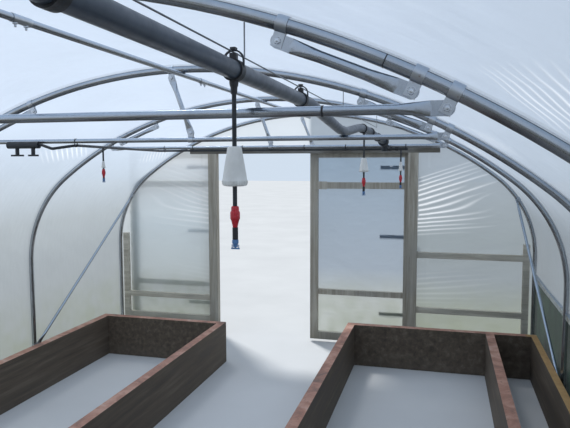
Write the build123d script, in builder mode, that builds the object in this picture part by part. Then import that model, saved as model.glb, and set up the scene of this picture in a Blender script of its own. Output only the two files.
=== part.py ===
"""Polytunnel greenhouse with timber ends, double doors, raised beds and an overhead mist line."""
import math
import os

from build123d import *

os.makedirs("parts", exist_ok=True)

# Driving dimensions in millimetres
BAYS = 5
BAY = 1520
MID_Y = -24
HOOP_R = 19
LEG_X = 2185
LEG_H = 992
SHOULDER_R = 956
CROWN_R = 2954
JOINT_ANGLE = 24
GAP = 0.3

BAR_R = 12.7
BRACE_R = 15
BAR_Z = 2000
FLAT_W = 38
FLAT_T = 5
FLAT_LEN = 34
TAPER_LEN = 80
KING_FLAT_LEN = 24
KING_TAPER_LEN = 50
CORNER_FOOT_Z = 250
CORNER_TOP_Z = 1530
CLIP_REACH = 42
CLIP_W = 30
CLIP_T = 2.5
BOLT_R = 5

FILM_T = 3
RAIL_Z = 800

DOOR_HALF = 1000
POST_W = 95
POST_D = 70
HEADER_Z = 1975
HEADER_H = 60
HEADER_HALF = 1300
STUD_X0 = 2080
STUD_X1 = 2140
STUD_H = 1100
RAIL_D = 45
LOW_RAIL = (150, 212)
MIDDLE_RAIL = (387, 442)
HIGH_RAIL = (938, 997)

LEAF_T = 42
LEAF_Z0 = 30
LEAF_Z1 = 2000
LEAF_LAP = 40
STILE_W = 80
HINGE_X = DOOR_HALF + LEAF_LAP + 18
HINGE_ZS = (330, 1130, 1830)
STRAP_LEN = 340
STRAP_W = 36
STRAP_T = 4
EYE_R = 10
PIN_R = 6
LEAF_RAILS = ((LEAF_Z0, 110), (510, 566), (1614, 1680), (1930, LEAF_Z1))
PLATE_IN = 30
PLATE_W = 147
PLATE_T = 3
PLATES = ((1607, 1687), (1935, 1985))

BED_H = 380
BED_T = 70
LEFT_BED = (-1905, -625)
LEFT_BED_HALF = 3000
RIGHT_BED = (495, 2144)
RIGHT_BED_HALF = 3270
DIVIDER_X = 1720
OUTER_BOARD_T = 50

PIPE_R = 22.5
PIPE_X = 850
PIPE_Z = 2095
WIRE_Z = 2137
WIRE_R = 2
HANGER_T = 4
HANGER_W = 6
HANGER_STEP = 690
HOSE_R = 8
MANIFOLD_R = 20
DROP_R = 4.5

# Derived positions
HOOP_Y = [MID_Y + BAY * (n - BAYS / 2) for n in range(BAYS + 1)]
FAR_Y = HOOP_Y[-1]
NEAR_Y = HOOP_Y[0]
SHOULDER_X = LEG_X - SHOULDER_R
CROWN_ANGLE = math.degrees(math.asin(SHOULDER_X / (CROWN_R - SHOULDER_R)))
CROWN_Z = LEG_H - (CROWN_R - SHOULDER_R) * math.cos(math.radians(CROWN_ANGLE))
INNER_R = HOOP_R + CLIP_T + 2 * GAP
END_PLATE = INNER_R
POST_FACE = END_PLATE - GAP
LEAF_FACE = END_PLATE + FILM_T + 6
LEAF_FILM = LEAF_FACE + LEAF_T + GAP
HINGE_OUT = LEAF_FILM + FILM_T + 10


def hoop_point(angle, inward=0):
    """Point in the hoop plane, angle from the ridge in degrees, right side positive."""
    a = math.radians(abs(angle))
    side = 1 if angle >= 0 else -1
    if abs(angle) <= CROWN_ANGLE:
        r = CROWN_R - inward
        return side * r * math.sin(a), CROWN_Z + r * math.cos(a)
    r = SHOULDER_R - inward
    return side * (SHOULDER_X + r * math.sin(a)), LEG_H + r * math.cos(a)


def crown_angle_at(x, inward=0):
    return math.degrees(math.asin(x / (CROWN_R - inward)))


def shoulder_angle_at(z):
    return math.degrees(math.acos((z - LEG_H) / SHOULDER_R))


def cross_plane(y):
    """Plane across the tunnel: local x is X and local y is Z."""
    return Plane(origin=(0, y, 0), x_dir=(1, 0, 0), z_dir=(0, -1, 0))


def block(x0, x1, y0, y1, z0, z1):
    with Locations(((x0 + x1) / 2, (y0 + y1) / 2, (z0 + z1) / 2)):
        Box(abs(x1 - x0), abs(y1 - y0), abs(z1 - z0))


def rod(p0, p1, radius):
    start = Vector(*p0)
    run = Vector(*p1) - start
    with BuildSketch(Plane(origin=start, z_dir=run)) as section:
        Circle(radius)
    extrude(section.sketch, amount=run.length)


def curved_tube(centre, bend_r, start, sweep_deg, radius):
    with BuildLine(cross_plane(0)) as route:
        CenterArc(centre, bend_r, start, sweep_deg)
    with BuildSketch(Plane(origin=route.line @ 0, z_dir=route.line % 0)) as section:
        Circle(radius)
    sweep(section.sketch, path=route.line)


def hoop():
    """One hoop at Y zero in eight lengths of tube, with a hairline between them."""
    slit_s = math.degrees(GAP / SHOULDER_R)
    slit_c = math.degrees(GAP / CROWN_R)
    for side in (-1, 1):
        rod((side * LEG_X, 0, 0), (side * LEG_X, 0, LEG_H - GAP), HOOP_R)
        pieces = (
            ((side * SHOULDER_X, LEG_H), SHOULDER_R, 0, 90 - CROWN_ANGLE - slit_s),
            ((0, CROWN_Z), CROWN_R, 90 - CROWN_ANGLE, CROWN_ANGLE - JOINT_ANGLE - slit_c),
            ((0, CROWN_Z), CROWN_R, 90 - JOINT_ANGLE, JOINT_ANGLE - slit_c),
        )
        for centre, bend_r, start, turn in pieces:
            if side > 0:
                curved_tube(centre, bend_r, start, turn, HOOP_R)
            else:
                curved_tube(centre, bend_r, 180 - start, -turn, HOOP_R)


def repeat(piece, ys):
    """The same piece at several places along the tunnel."""
    with Locations(*[(0, y, 0) for y in ys]):
        add(piece, clean=False)


def flat_end(bolt, along, normal, radius, flat_len, taper_len):
    """A tube end pressed flat: round tube, taper, and a drilled tab with a rounded end."""
    seat = Plane(origin=bolt, x_dir=along, z_dir=normal)
    neck = seat.from_local_coords((flat_len, 0, 0))
    full = seat.from_local_coords((flat_len + taper_len, 0, 0))
    with BuildSketch(Plane(origin=neck, x_dir=seat.y_dir, z_dir=seat.x_dir)) as pressed:
        Ellipse(FLAT_W / 2, FLAT_T / 2)
    with BuildSketch(Plane(origin=full, x_dir=seat.y_dir, z_dir=seat.x_dir)) as round_end:
        Circle(radius)
    loft([pressed.sketch, round_end.sketch])
    with BuildSketch(seat) as tab:
        Circle(FLAT_W / 2)
        with Locations(((flat_len + 4) / 2, 0)):
            Rectangle(flat_len + 4, FLAT_W - 1)
        Circle(BOLT_R + GAP, mode=Mode.SUBTRACT)
    extrude(tab.sketch, amount=FLAT_T / 2, both=True)


def flat_ended_bar(p0, p1, radius, n0, n1, flat_len=FLAT_LEN, taper_len=TAPER_LEN):
    start = Vector(*p0)
    end = Vector(*p1)
    run = (end - start).normalized()
    reach = flat_len + taper_len
    with BuildPart() as bar:
        rod(tuple(start + run * reach), tuple(end - run * reach), radius)
        flat_end(start, run, Vector(*n0), radius, flat_len, taper_len)
        flat_end(end, run * -1, Vector(*n1), radius, flat_len, taper_len)
    add(bar.part, clean=False)


def p_clip(origin, tangent, toward, tube_r, reach=CLIP_REACH):
    """Strap round a tube, its two ears either side of a flat tube end, with the bolt through."""
    seat = Plane(origin=origin, x_dir=toward, z_dir=tangent)
    slot = FLAT_T + 2 * GAP
    ear = 15
    half = slot / 2 + CLIP_T
    bolt = seat.from_local_coords((reach, 0, 0))
    side = seat.y_dir
    with BuildPart() as clip:
        with BuildSketch(seat):
            Circle(tube_r + GAP + CLIP_T)
            with Locations(((reach + ear) / 2, 0)):
                Rectangle(reach + ear, slot + 2 * CLIP_T)
                Rectangle(reach + ear + 2, slot, mode=Mode.SUBTRACT)
            Circle(tube_r + GAP, mode=Mode.SUBTRACT)
        extrude(amount=CLIP_W / 2, both=True)
        with BuildSketch(Plane(origin=bolt - side * (half + 6), z_dir=side)):
            RegularPolygon(9, 6)
        extrude(amount=6)
        with BuildSketch(Plane(origin=bolt - side * half, z_dir=side)):
            Circle(BOLT_R)
        extrude(amount=2 * half + 6)
    add(clip.part, clean=False)


def hoop_clip(angle):
    x, z = hoop_point(angle)
    a = math.radians(angle)
    p_clip((x, 0, z), (math.cos(a), 0, -math.sin(a)), (-math.sin(a), 0, -math.cos(a)), HOOP_R)


def wall_strip(centre, bend_r, a0, a1, y0, y1):
    """Curved sheet along the tunnel between two angles measured from +X."""
    r_in = bend_r + INNER_R
    r_out = r_in + FILM_T
    am = (a0 + a1) / 2

    def at(r, deg):
        t = math.radians(deg)
        return centre[0] + r * math.cos(t), centre[1] + r * math.sin(t)

    with BuildSketch(cross_plane(y1)) as section:
        with BuildLine():
            ThreePointArc(at(r_in, a0), at(r_in, am), at(r_in, a1))
            Line(at(r_in, a1), at(r_out, a1))
            ThreePointArc(at(r_out, a1), at(r_out, am), at(r_out, a0))
            Line(at(r_out, a0), at(r_in, a0))
        make_face()
    extrude(section.sketch, amount=y1 - y0)


COVER_Y0 = NEAR_Y - END_PLATE - FILM_T
COVER_Y1 = FAR_Y + END_PLATE + FILM_T

# Hoops of galvanised tube
with BuildPart() as one_hoop:
    hoop()
with BuildPart() as hoops:
    repeat(one_hoop.part, HOOP_Y)
hoops.part.label = "hoops"
export_step(hoops.part, "parts/hoops.step")

# Ridge tube under the crowns
RIDGE_Z = hoop_point(0)[1] - HOOP_R - GAP - BAR_R
with BuildPart() as ridge_tube:
    rod((0, NEAR_Y - 15, RIDGE_Z), (0, FAR_Y + 15, RIDGE_Z), BAR_R)
ridge_tube.part.label = "ridge_tube"
export_step(ridge_tube.part, "parts/ridge_tube.step")

# Crop bars across the inner hoops, with flattened ends
BAR_BOLT_X = math.sqrt((CROWN_R - CLIP_REACH) ** 2 - (BAR_Z - CROWN_Z) ** 2)
INNER_HOOPS = HOOP_Y[1:-1]
with BuildPart() as one_bar:
    flat_ended_bar((-BAR_BOLT_X, 0, BAR_Z), (BAR_BOLT_X, 0, BAR_Z), BAR_R, (0, 1, 0), (0, 1, 0))
with BuildPart() as crop_bars:
    repeat(one_bar.part, INNER_HOOPS)
crop_bars.part.label = "crop_bars"
export_step(crop_bars.part, "parts/crop_bars.step")

# Short braces that bridge the joint in each hoop
BRACE_TOP = crown_angle_at(937, CLIP_REACH)
BRACE_LOW = crown_angle_at(1262, CLIP_REACH)
with BuildPart() as brace_pair:
    for side in (-1, 1):
        xa, za = hoop_point(side * BRACE_TOP, CLIP_REACH)
        xb, zb = hoop_point(side * BRACE_LOW, CLIP_REACH)
        flat_ended_bar((xa, 0, za), (xb, 0, zb), BRACE_R, (0, 1, 0), (0, 1, 0))
with BuildPart() as hoop_braces:
    repeat(brace_pair.part, INNER_HOOPS)
hoop_braces.part.label = "hoop_braces"
export_step(hoop_braces.part, "parts/hoop_braces.step")

# King posts between crown and crop bar
KING_TOP = crown_angle_at(-75)
KING_FOOT_X = 32
KING_FOOT_Z = BAR_Z + 36
END_FOOT_Z = HEADER_Z + HEADER_H + 30
king_top_x, king_top_z = hoop_point(KING_TOP, CLIP_REACH)


def king_post(foot_z):
    top = (king_top_x, 0, king_top_z)
    foot = (KING_FOOT_X, 0, foot_z)
    flat_ended_bar(top, foot, BAR_R, (0, 1, 0), (0, 1, 0), KING_FLAT_LEN, KING_TAPER_LEN)


with BuildPart() as inner_post:
    king_post(KING_FOOT_Z)
with BuildPart() as end_post:
    king_post(END_FOOT_Z)
with BuildPart() as king_posts:
    repeat(inner_post.part, INNER_HOOPS)
    repeat(end_post.part, (NEAR_Y, FAR_Y))
king_posts.part.label = "king_posts"
export_step(king_posts.part, "parts/king_posts.step")


# Corner braces from the foot of the second hoop to the shoulder of the end hoop
def corner_brace_ends(side, end):
    """Bolt points and clip directions, found by a few rounds of settling."""
    y_leg = HOOP_Y[-2] if end > 0 else HOOP_Y[1]
    y_top = FAR_Y if end > 0 else NEAR_Y
    leg = Vector(side * LEG_X, y_leg, CORNER_FOOT_Z)
    angle = side * shoulder_angle_at(CORNER_TOP_Z)
    tx, tz = hoop_point(angle)
    top = Vector(tx, y_top, tz)
    a = math.radians(angle)
    t_leg = Vector(0, 0, 1)
    t_top = Vector(math.cos(a), 0, -math.sin(a))
    foot_bolt = leg
    top_bolt = top
    for _ in range(12):
        run = (top_bolt - foot_bolt).normalized()
        n_leg = run.cross(t_leg).normalized()
        n_top = run.cross(t_top).normalized()
        d_leg = t_leg.cross(n_leg).normalized()
        d_top = t_top.cross(n_top).normalized()
        if d_leg.dot(run) < 0:
            d_leg = d_leg * -1
        if d_top.dot(run) > 0:
            d_top = d_top * -1
        foot_bolt = leg + d_leg * CLIP_REACH
        top_bolt = top + d_top * CLIP_REACH
    return leg, top, t_leg, t_top, d_leg, d_top, n_leg, n_top, foot_bolt, top_bolt


CORNERS = [corner_brace_ends(side, end) for side in (-1, 1) for end in (-1, 1)]
with BuildPart() as corner_braces:
    for leg, top, t_leg, t_top, d_leg, d_top, n_leg, n_top, foot_bolt, top_bolt in CORNERS:
        flat_ended_bar(tuple(foot_bolt), tuple(top_bolt), BAR_R, tuple(n_leg), tuple(n_top))
corner_braces.part.label = "corner_braces"
export_step(corner_braces.part, "parts/corner_braces.step")

# Strap clips for crop bars, short braces and king posts
with BuildPart() as bar_clip_set:
    for side in (-1, 1):
        hoop_clip(side * crown_angle_at(BAR_BOLT_X, CLIP_REACH))
    p_clip((KING_FOOT_X, 0, BAR_Z), (1, 0, 0), (0, 0, 1), BAR_R, KING_FOOT_Z - BAR_Z)
with BuildPart() as bar_clips:
    repeat(bar_clip_set.part, INNER_HOOPS)
bar_clips.part.label = "bar_clips"
export_step(bar_clips.part, "parts/bar_clips.step")

with BuildPart() as brace_clip_set:
    for side in (-1, 1):
        hoop_clip(side * BRACE_TOP)
        hoop_clip(side * BRACE_LOW)
with BuildPart() as brace_clips:
    repeat(brace_clip_set.part, INNER_HOOPS)
brace_clips.part.label = "brace_clips"
export_step(brace_clips.part, "parts/brace_clips.step")

with BuildPart() as king_clip:
    hoop_clip(KING_TOP)
with BuildPart() as king_clips:
    repeat(king_clip.part, HOOP_Y)
king_clips.part.label = "king_clips"
export_step(king_clips.part, "parts/king_clips.step")

with BuildPart() as corner_clips:
    for leg, top, t_leg, t_top, d_leg, d_top, n_leg, n_top, foot_bolt, top_bolt in CORNERS:
        p_clip(leg, t_leg, d_leg, HOOP_R)
        p_clip(top, t_top, d_top, HOOP_R)
corner_clips.part.label = "corner_clips"
export_step(corner_clips.part, "parts/corner_clips.step")

# Polythene cover in strips, thicker than real
HALF_SHOULDER = (90 - CROWN_ANGLE) / 2
HALF_CROWN = CROWN_ANGLE / 2


def shoulder_cover(side):
    slit = math.degrees(GAP / SHOULDER_R)
    for n in range(2):
        a0 = n * HALF_SHOULDER
        a1 = a0 + HALF_SHOULDER - slit
        if side < 0:
            a0, a1 = 180 - a1, 180 - a0
        wall_strip((side * SHOULDER_X, LEG_H), SHOULDER_R, a0, a1, COVER_Y0, COVER_Y1)


def roof_cover(side):
    slit = math.degrees(GAP / CROWN_R)
    for n in range(2):
        a0 = 90 - CROWN_ANGLE + n * HALF_CROWN
        a1 = a0 + HALF_CROWN - slit
        if side < 0:
            a0, a1 = 180 - a1, 180 - a0
        wall_strip((0, CROWN_Z), CROWN_R, a0, a1, COVER_Y0, COVER_Y1)


with BuildPart() as left_wall_cover:
    block(-LEG_X - INNER_R - FILM_T, -LEG_X - INNER_R, COVER_Y0, COVER_Y1, 0, LEG_H - GAP)
left_wall_cover.part.label = "left_wall_cover"
export_step(left_wall_cover.part, "parts/left_wall_cover.step")

with BuildPart() as right_wall_cover:
    block(LEG_X + INNER_R, LEG_X + INNER_R + FILM_T, COVER_Y0, COVER_Y1, RAIL_Z, LEG_H - GAP)
right_wall_cover.part.label = "right_wall_cover"
export_step(right_wall_cover.part, "parts/right_wall_cover.step")

with BuildPart() as right_side_net:
    block(LEG_X + INNER_R, LEG_X + INNER_R + FILM_T, COVER_Y0, COVER_Y1, 0, RAIL_Z - GAP)
right_side_net.part.label = "right_side_net"
export_step(right_side_net.part, "parts/right_side_net.step")

# Film rail on the inside of the right wall, in lengths between the hoops
with BuildPart() as right_side_rail:
    for n in range(BAYS):
        start = HOOP_Y[n] + HOOP_R + GAP
        stop = HOOP_Y[n + 1] - HOOP_R - GAP
        block(LEG_X - 6, LEG_X + INNER_R - GAP, start, stop, RAIL_Z - 18, RAIL_Z + 18)
right_side_rail.part.label = "right_side_rail"
export_step(right_side_rail.part, "parts/right_side_rail.step")

with BuildPart() as left_shoulder_cover:
    shoulder_cover(-1)
left_shoulder_cover.part.label = "left_shoulder_cover"
export_step(left_shoulder_cover.part, "parts/left_shoulder_cover.step")

with BuildPart() as right_shoulder_cover:
    shoulder_cover(1)
right_shoulder_cover.part.label = "right_shoulder_cover"
export_step(right_shoulder_cover.part, "parts/right_shoulder_cover.step")

with BuildPart() as left_roof_cover:
    roof_cover(-1)
left_roof_cover.part.label = "left_roof_cover"
export_step(left_roof_cover.part, "parts/left_roof_cover.step")

with BuildPart() as right_roof_cover:
    roof_cover(1)
right_roof_cover.part.label = "right_roof_cover"
export_step(right_roof_cover.part, "parts/right_roof_cover.step")


# End walls
def end_film(end):
    """Two side sheets and the sheet over the doorway, each a flat convex piece."""
    y_hoop = FAR_Y if end > 0 else NEAR_Y
    inner = y_hoop + end * END_PLATE
    level = HEADER_Z + HEADER_H / 2
    top_angle = math.degrees(math.acos((level - CROWN_Z) / (CROWN_R + HOOP_R)))
    low_angle = math.degrees(math.acos((level - GAP - CROWN_Z) / (CROWN_R + HOOP_R)))
    start = inner if end < 0 else inner + FILM_T
    with BuildSketch(cross_plane(start)) as sheets:
        with BuildLine():
            left = hoop_point(-top_angle, -HOOP_R)
            right = hoop_point(top_angle, -HOOP_R)
            ThreePointArc(left, hoop_point(0, -HOOP_R), right)
            Line(right, left)
        make_face()
        for side in (-1, 1):
            p0 = (side * DOOR_HALF, level - GAP)
            p1 = hoop_point(side * low_angle, -HOOP_R)
            p2 = hoop_point(side * (low_angle + CROWN_ANGLE) / 2, -HOOP_R)
            p3 = hoop_point(side * CROWN_ANGLE, -HOOP_R)
            p4 = hoop_point(side * (90 + CROWN_ANGLE) / 2, -HOOP_R)
            p5 = (side * (LEG_X + HOOP_R), LEG_H)
            with BuildLine():
                Line(p0, p1)
                ThreePointArc(p1, p2, p3)
                ThreePointArc(p3, p4, p5)
                Line(p5, (side * (LEG_X + HOOP_R), 0))
                Line((side * (LEG_X + HOOP_R), 0), (side * DOOR_HALF, 0))
                Line((side * DOOR_HALF, 0), p0)
            make_face()
    extrude(sheets.sketch, amount=FILM_T)


def door_posts(end):
    y_hoop = FAR_Y if end > 0 else NEAR_Y
    y0 = y_hoop + end * (POST_FACE - POST_D)
    y1 = y_hoop + end * POST_FACE
    for side in (-1, 1):
        block(side * DOOR_HALF, side * (DOOR_HALF + POST_W), y0, y1, 0, HEADER_Z - GAP)


def header(end):
    y_hoop = FAR_Y if end > 0 else NEAR_Y
    y0 = y_hoop + end * (POST_FACE - POST_D)
    y1 = y_hoop + end * POST_FACE
    block(-HEADER_HALF, HEADER_HALF, y0, y1, HEADER_Z, HEADER_Z + HEADER_H)


def wall_rails(end):
    y_hoop = FAR_Y if end > 0 else NEAR_Y
    y0 = y_hoop + end * (POST_FACE - RAIL_D)
    y1 = y_hoop + end * POST_FACE
    for side in (-1, 1):
        block(side * STUD_X0, side * STUD_X1, y0, y1, 0, STUD_H)
        heights = [LOW_RAIL, MIDDLE_RAIL]
        if side > 0:
            heights.append(HIGH_RAIL)
        for z0, z1 in heights:
            block(side * (DOOR_HALF + POST_W + GAP), side * (STUD_X0 - GAP), y0, y1, z0, z1)


def king_seat(end):
    """Two ears on the header that take the flattened foot of the end king post."""
    y = FAR_Y if end > 0 else NEAR_Y
    base = HEADER_Z + HEADER_H
    ear_h = END_FOOT_Z - base + CLIP_W / 2
    inner = FLAT_T / 2 + GAP
    outer = inner + CLIP_T
    block(KING_FOOT_X - FLAT_W / 2, KING_FOOT_X + FLAT_W / 2, y - HOOP_R, y + HOOP_R, base, base + CLIP_T)
    ear_x0 = KING_FOOT_X - CLIP_W / 2
    ear_x1 = KING_FOOT_X + CLIP_W / 2
    for side in (-1, 1):
        block(ear_x0, ear_x1, y + side * inner, y + side * outer, base, base + ear_h)
    with BuildSketch(Plane(origin=(KING_FOOT_X, y - outer - BOLT_R, END_FOOT_Z), z_dir=(0, 1, 0))) as pin:
        Circle(BOLT_R)
    extrude(pin.sketch, amount=2 * (outer + BOLT_R))


for name, end in (("far", 1), ("near", -1)):
    with BuildPart() as film_part:
        end_film(end)
    film_part.part.label = name + "_end_film"
    export_step(film_part.part, "parts/" + name + "_end_film.step")
    with BuildPart() as post_part:
        door_posts(end)
    post_part.part.label = name + "_door_posts"
    export_step(post_part.part, "parts/" + name + "_door_posts.step")
    with BuildPart() as header_part:
        header(end)
    header_part.part.label = name + "_header"
    export_step(header_part.part, "parts/" + name + "_header.step")
    with BuildPart() as rail_part:
        wall_rails(end)
    rail_part.part.label = name + "_wall_rails"
    export_step(rail_part.part, "parts/" + name + "_wall_rails.step")

with BuildPart() as king_seats:
    king_seat(1)
    king_seat(-1)
king_seats.part.label = "king_seats"
export_step(king_seats.part, "parts/king_seats.step")


# Door leaves: a timber frame with film on its outer face
def leaf_frame(xa, xb, ya, yb):
    """Stiles and rails between two edges xa < xb; the rails are set between the stiles."""
    block(xa, xa + STILE_W, ya, yb, LEAF_Z0, LEAF_Z1)
    block(xb - STILE_W, xb, ya, yb, LEAF_Z0, LEAF_Z1)
    for z0, z1 in LEAF_RAILS:
        block(xa + STILE_W + GAP, xb - STILE_W - GAP, ya, yb, z0, z1)


def leaf_plates(edge, toward, face, out):
    """Flat plates over the rail ends on the free stile; out is the way their face looks in Y."""
    start = edge + toward * PLATE_IN
    for z0, z1 in PLATES:
        block(start, start + toward * PLATE_W, face, face + out * PLATE_T, z0, z1)


def leaf_film(xa, xb, ya, yb):
    block(xa, xb, ya, yb, LEAF_Z0, LEAF_Z1)


def strap_hinges(axis_x, axis_y, toward, leaf_side):
    """Long straps with an eye round the pin; leaf_side is the Y of the face they lie on."""
    step = 1 if axis_y > leaf_side else -1
    y0 = leaf_side + step * GAP
    y1 = y0 + step * STRAP_T
    for z in HINGE_ZS:
        low = z - STRAP_W / 2
        high = z + STRAP_W / 2
        with BuildSketch(Plane(origin=(axis_x, axis_y, low))) as eye:
            Circle(EYE_R)
        extrude(eye.sketch, amount=STRAP_W)
        block(axis_x, axis_x + toward * STRAP_LEN, y0, y1, low, high)
        with BuildSketch(Plane(origin=(axis_x, axis_y, low - 2))) as bore:
            Circle(PIN_R + GAP)
        extrude(bore.sketch, amount=STRAP_W + 4, mode=Mode.SUBTRACT)


def hinge_pins(side, end):
    """Pins on plates that are screwed to the outer face of the door posts."""
    y_hoop = FAR_Y if end > 0 else NEAR_Y
    x = side * HINGE_X
    axis_y = y_hoop + end * HINGE_OUT
    face = y_hoop + end * (END_PLATE + FILM_T + GAP)
    for z in HINGE_ZS:
        block(side * (DOOR_HALF + 46), side * (DOOR_HALF + 90), face, face + end * STRAP_T, z - 60, z + 30)
        block(x - PIN_R, x + PIN_R, face + end * 2, axis_y, z - 44, z - 26)
        with BuildSketch(Plane(origin=(x, axis_y, z - 44))) as pin:
            Circle(PIN_R)
        extrude(pin.sketch, amount=70)


leaf_in = DOOR_HALF + LEAF_LAP
far_axis_y = FAR_Y + HINGE_OUT
near_axis_y = NEAR_Y - HINGE_OUT

# Right leaf of the far end, shut
with BuildPart() as right_door_frame:
    leaf_frame(4, leaf_in, FAR_Y + LEAF_FACE, FAR_Y + LEAF_FACE + LEAF_T)
    leaf_plates(4, 1, FAR_Y + LEAF_FACE, -1)
right_door_frame.part.label = "right_door_frame"
export_step(right_door_frame.part, "parts/right_door_frame.step")

with BuildPart() as right_door_film:
    leaf_film(4, leaf_in, FAR_Y + LEAF_FILM, FAR_Y + LEAF_FILM + FILM_T)
right_door_film.part.label = "right_door_film"
export_step(right_door_film.part, "parts/right_door_film.step")

with BuildPart() as right_door_hinges:
    strap_hinges(HINGE_X, far_axis_y, -1, FAR_Y + LEAF_FILM + FILM_T)
right_door_hinges.part.label = "right_door_hinges"
export_step(right_door_hinges.part, "parts/right_door_hinges.step")

# Left leaf of the far end, folded back flat against the end wall
open_far = -2 * HINGE_X + 4
open_near = -2 * HINGE_X + leaf_in
fold = 2 * far_axis_y - FAR_Y
with BuildPart() as left_door_frame:
    leaf_frame(open_far, open_near, fold - LEAF_FACE - LEAF_T, fold - LEAF_FACE)
    leaf_plates(open_far, 1, fold - LEAF_FACE, 1)
left_door_frame.part.label = "left_door_frame"
export_step(left_door_frame.part, "parts/left_door_frame.step")

with BuildPart() as left_door_film:
    leaf_film(open_far, open_near, fold - LEAF_FILM - FILM_T, fold - LEAF_FILM)
left_door_film.part.label = "left_door_film"
export_step(left_door_film.part, "parts/left_door_film.step")

with BuildPart() as left_door_hinges:
    strap_hinges(-HINGE_X, far_axis_y, -1, fold - LEAF_FILM - FILM_T)
left_door_hinges.part.label = "left_door_hinges"
export_step(left_door_hinges.part, "parts/left_door_hinges.step")

with BuildPart() as far_hinge_pins:
    hinge_pins(-1, 1)
    hinge_pins(1, 1)
far_hinge_pins.part.label = "far_hinge_pins"
export_step(far_hinge_pins.part, "parts/far_hinge_pins.step")

# Near doors, shut and fixed
with BuildPart() as near_door_frames:
    leaf_frame(4, leaf_in, NEAR_Y - LEAF_FACE - LEAF_T, NEAR_Y - LEAF_FACE)
    leaf_frame(-leaf_in, -4, NEAR_Y - LEAF_FACE - LEAF_T, NEAR_Y - LEAF_FACE)
    leaf_plates(4, 1, NEAR_Y - LEAF_FACE, 1)
    leaf_plates(-4, -1, NEAR_Y - LEAF_FACE, 1)
near_door_frames.part.label = "near_door_frames"
export_step(near_door_frames.part, "parts/near_door_frames.step")

with BuildPart() as near_door_films:
    leaf_film(4, leaf_in, NEAR_Y - LEAF_FILM - FILM_T, NEAR_Y - LEAF_FILM)
    leaf_film(-leaf_in, -4, NEAR_Y - LEAF_FILM - FILM_T, NEAR_Y - LEAF_FILM)
near_door_films.part.label = "near_door_films"
export_step(near_door_films.part, "parts/near_door_films.step")

with BuildPart() as near_door_hinges:
    strap_hinges(HINGE_X, near_axis_y, -1, NEAR_Y - LEAF_FILM - FILM_T)
    strap_hinges(-HINGE_X, near_axis_y, 1, NEAR_Y - LEAF_FILM - FILM_T)
near_door_hinges.part.label = "near_door_hinges"
export_step(near_door_hinges.part, "parts/near_door_hinges.step")

with BuildPart() as near_hinge_pins:
    hinge_pins(-1, -1)
    hinge_pins(1, -1)
near_hinge_pins.part.label = "near_hinge_pins"
export_step(near_hinge_pins.part, "parts/near_hinge_pins.step")


# Raised beds of thick boards on edge
def bed(x0, x1, half, t_right):
    """Four boards round a bed that reaches half its length either way from the middle."""
    y0 = MID_Y - half
    y1 = MID_Y + half
    block(x0, x0 + BED_T, y0, y1, 0, BED_H)
    block(x1 - t_right, x1, y0, y1, 0, BED_H)
    xa = x0 + BED_T + GAP
    xb = x1 - t_right - GAP
    block(xa, xb, y0, y0 + BED_T, 0, BED_H)
    block(xa, xb, y1 - BED_T, y1, 0, BED_H)


with BuildPart() as left_bed:
    bed(*LEFT_BED, LEFT_BED_HALF, BED_T)
left_bed.part.label = "left_bed"
export_step(left_bed.part, "parts/left_bed.step")

with BuildPart() as right_bed:
    bed(*RIGHT_BED, RIGHT_BED_HALF, OUTER_BOARD_T)
    inner_half = RIGHT_BED_HALF - BED_T - GAP
    block(DIVIDER_X, DIVIDER_X + BED_T, MID_Y - inner_half, MID_Y + inner_half, 0, BED_H)
right_bed.part.label = "right_bed"
export_step(right_bed.part, "parts/right_bed.step")

# Overhead mist pipe: level, then resting on a crop bar, up again, and down to its end
H3_Y = HOOP_Y[-2]
H2_Y = HOOP_Y[-3]
H1_Y = HOOP_Y[-4]
REST_Z = BAR_Z + BAR_R + GAP + PIPE_R
RISE_Z = 2077
PIPE_START = NEAR_Y + 160
PIPE_STOPS = [
    (PIPE_X, PIPE_START, PIPE_Z),
    (PIPE_X, H2_Y - 760, PIPE_Z),
    (PIPE_X, H2_Y - 100, REST_Z),
    (PIPE_X, H2_Y + 100, REST_Z),
    (PIPE_X + 18, H2_Y + 480, RISE_Z),
    (PIPE_X + 26, H2_Y + 760, RISE_Z),
    (PIPE_X + 62, H3_Y - 150, 2032),
]
with BuildPart() as mist_pipe:
    with BuildLine() as pipe_route:
        FilletPolyline(*PIPE_STOPS, radius=600)
    with BuildSketch(Plane(origin=pipe_route.line @ 0, z_dir=pipe_route.line % 0)):
        Circle(PIPE_R)
    sweep(path=pipe_route.line)
mist_pipe.part.label = "mist_pipe"
export_step(mist_pipe.part, "parts/mist_pipe.step")

# Reducer at the end of the pipe: collar, elbow down, and a stub to the hose under the crop bar
HOSE_Z = BAR_Z - BAR_R - CLIP_T - 2 * GAP - HOSE_R
HOSE_Y = H3_Y - 2
COLLAR_R = PIPE_R + 14
COLLAR_LEN = 46
ELBOW_R = 24
ELBOW_REACH = 90
END_DIR = (Vector(*PIPE_STOPS[-1]) - Vector(*PIPE_STOPS[-2])).normalized()
END_POINT = Vector(*PIPE_STOPS[-1]) + END_DIR * GAP
with BuildPart() as pipe_reducer:
    with BuildSketch(Plane(origin=END_POINT, z_dir=END_DIR)):
        Circle(COLLAR_R)
    extrude(amount=COLLAR_LEN)
    with BuildSketch(Plane(origin=END_POINT + END_DIR * (COLLAR_LEN - 2), z_dir=END_DIR)):
        Circle(ELBOW_R)
    extrude(amount=ELBOW_REACH + ELBOW_R - COLLAR_LEN)
    knee = END_POINT + END_DIR * ELBOW_REACH
    rod((knee.X, knee.Y, knee.Z), (knee.X, knee.Y, HOSE_Z - 2 * HOSE_R), ELBOW_R)
    rod((knee.X, knee.Y, HOSE_Z), (knee.X, HOSE_Y - HOSE_R - GAP, HOSE_Z), HOSE_R)
pipe_reducer.part.label = "pipe_reducer"
export_step(pipe_reducer.part, "parts/pipe_reducer.step")

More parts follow.
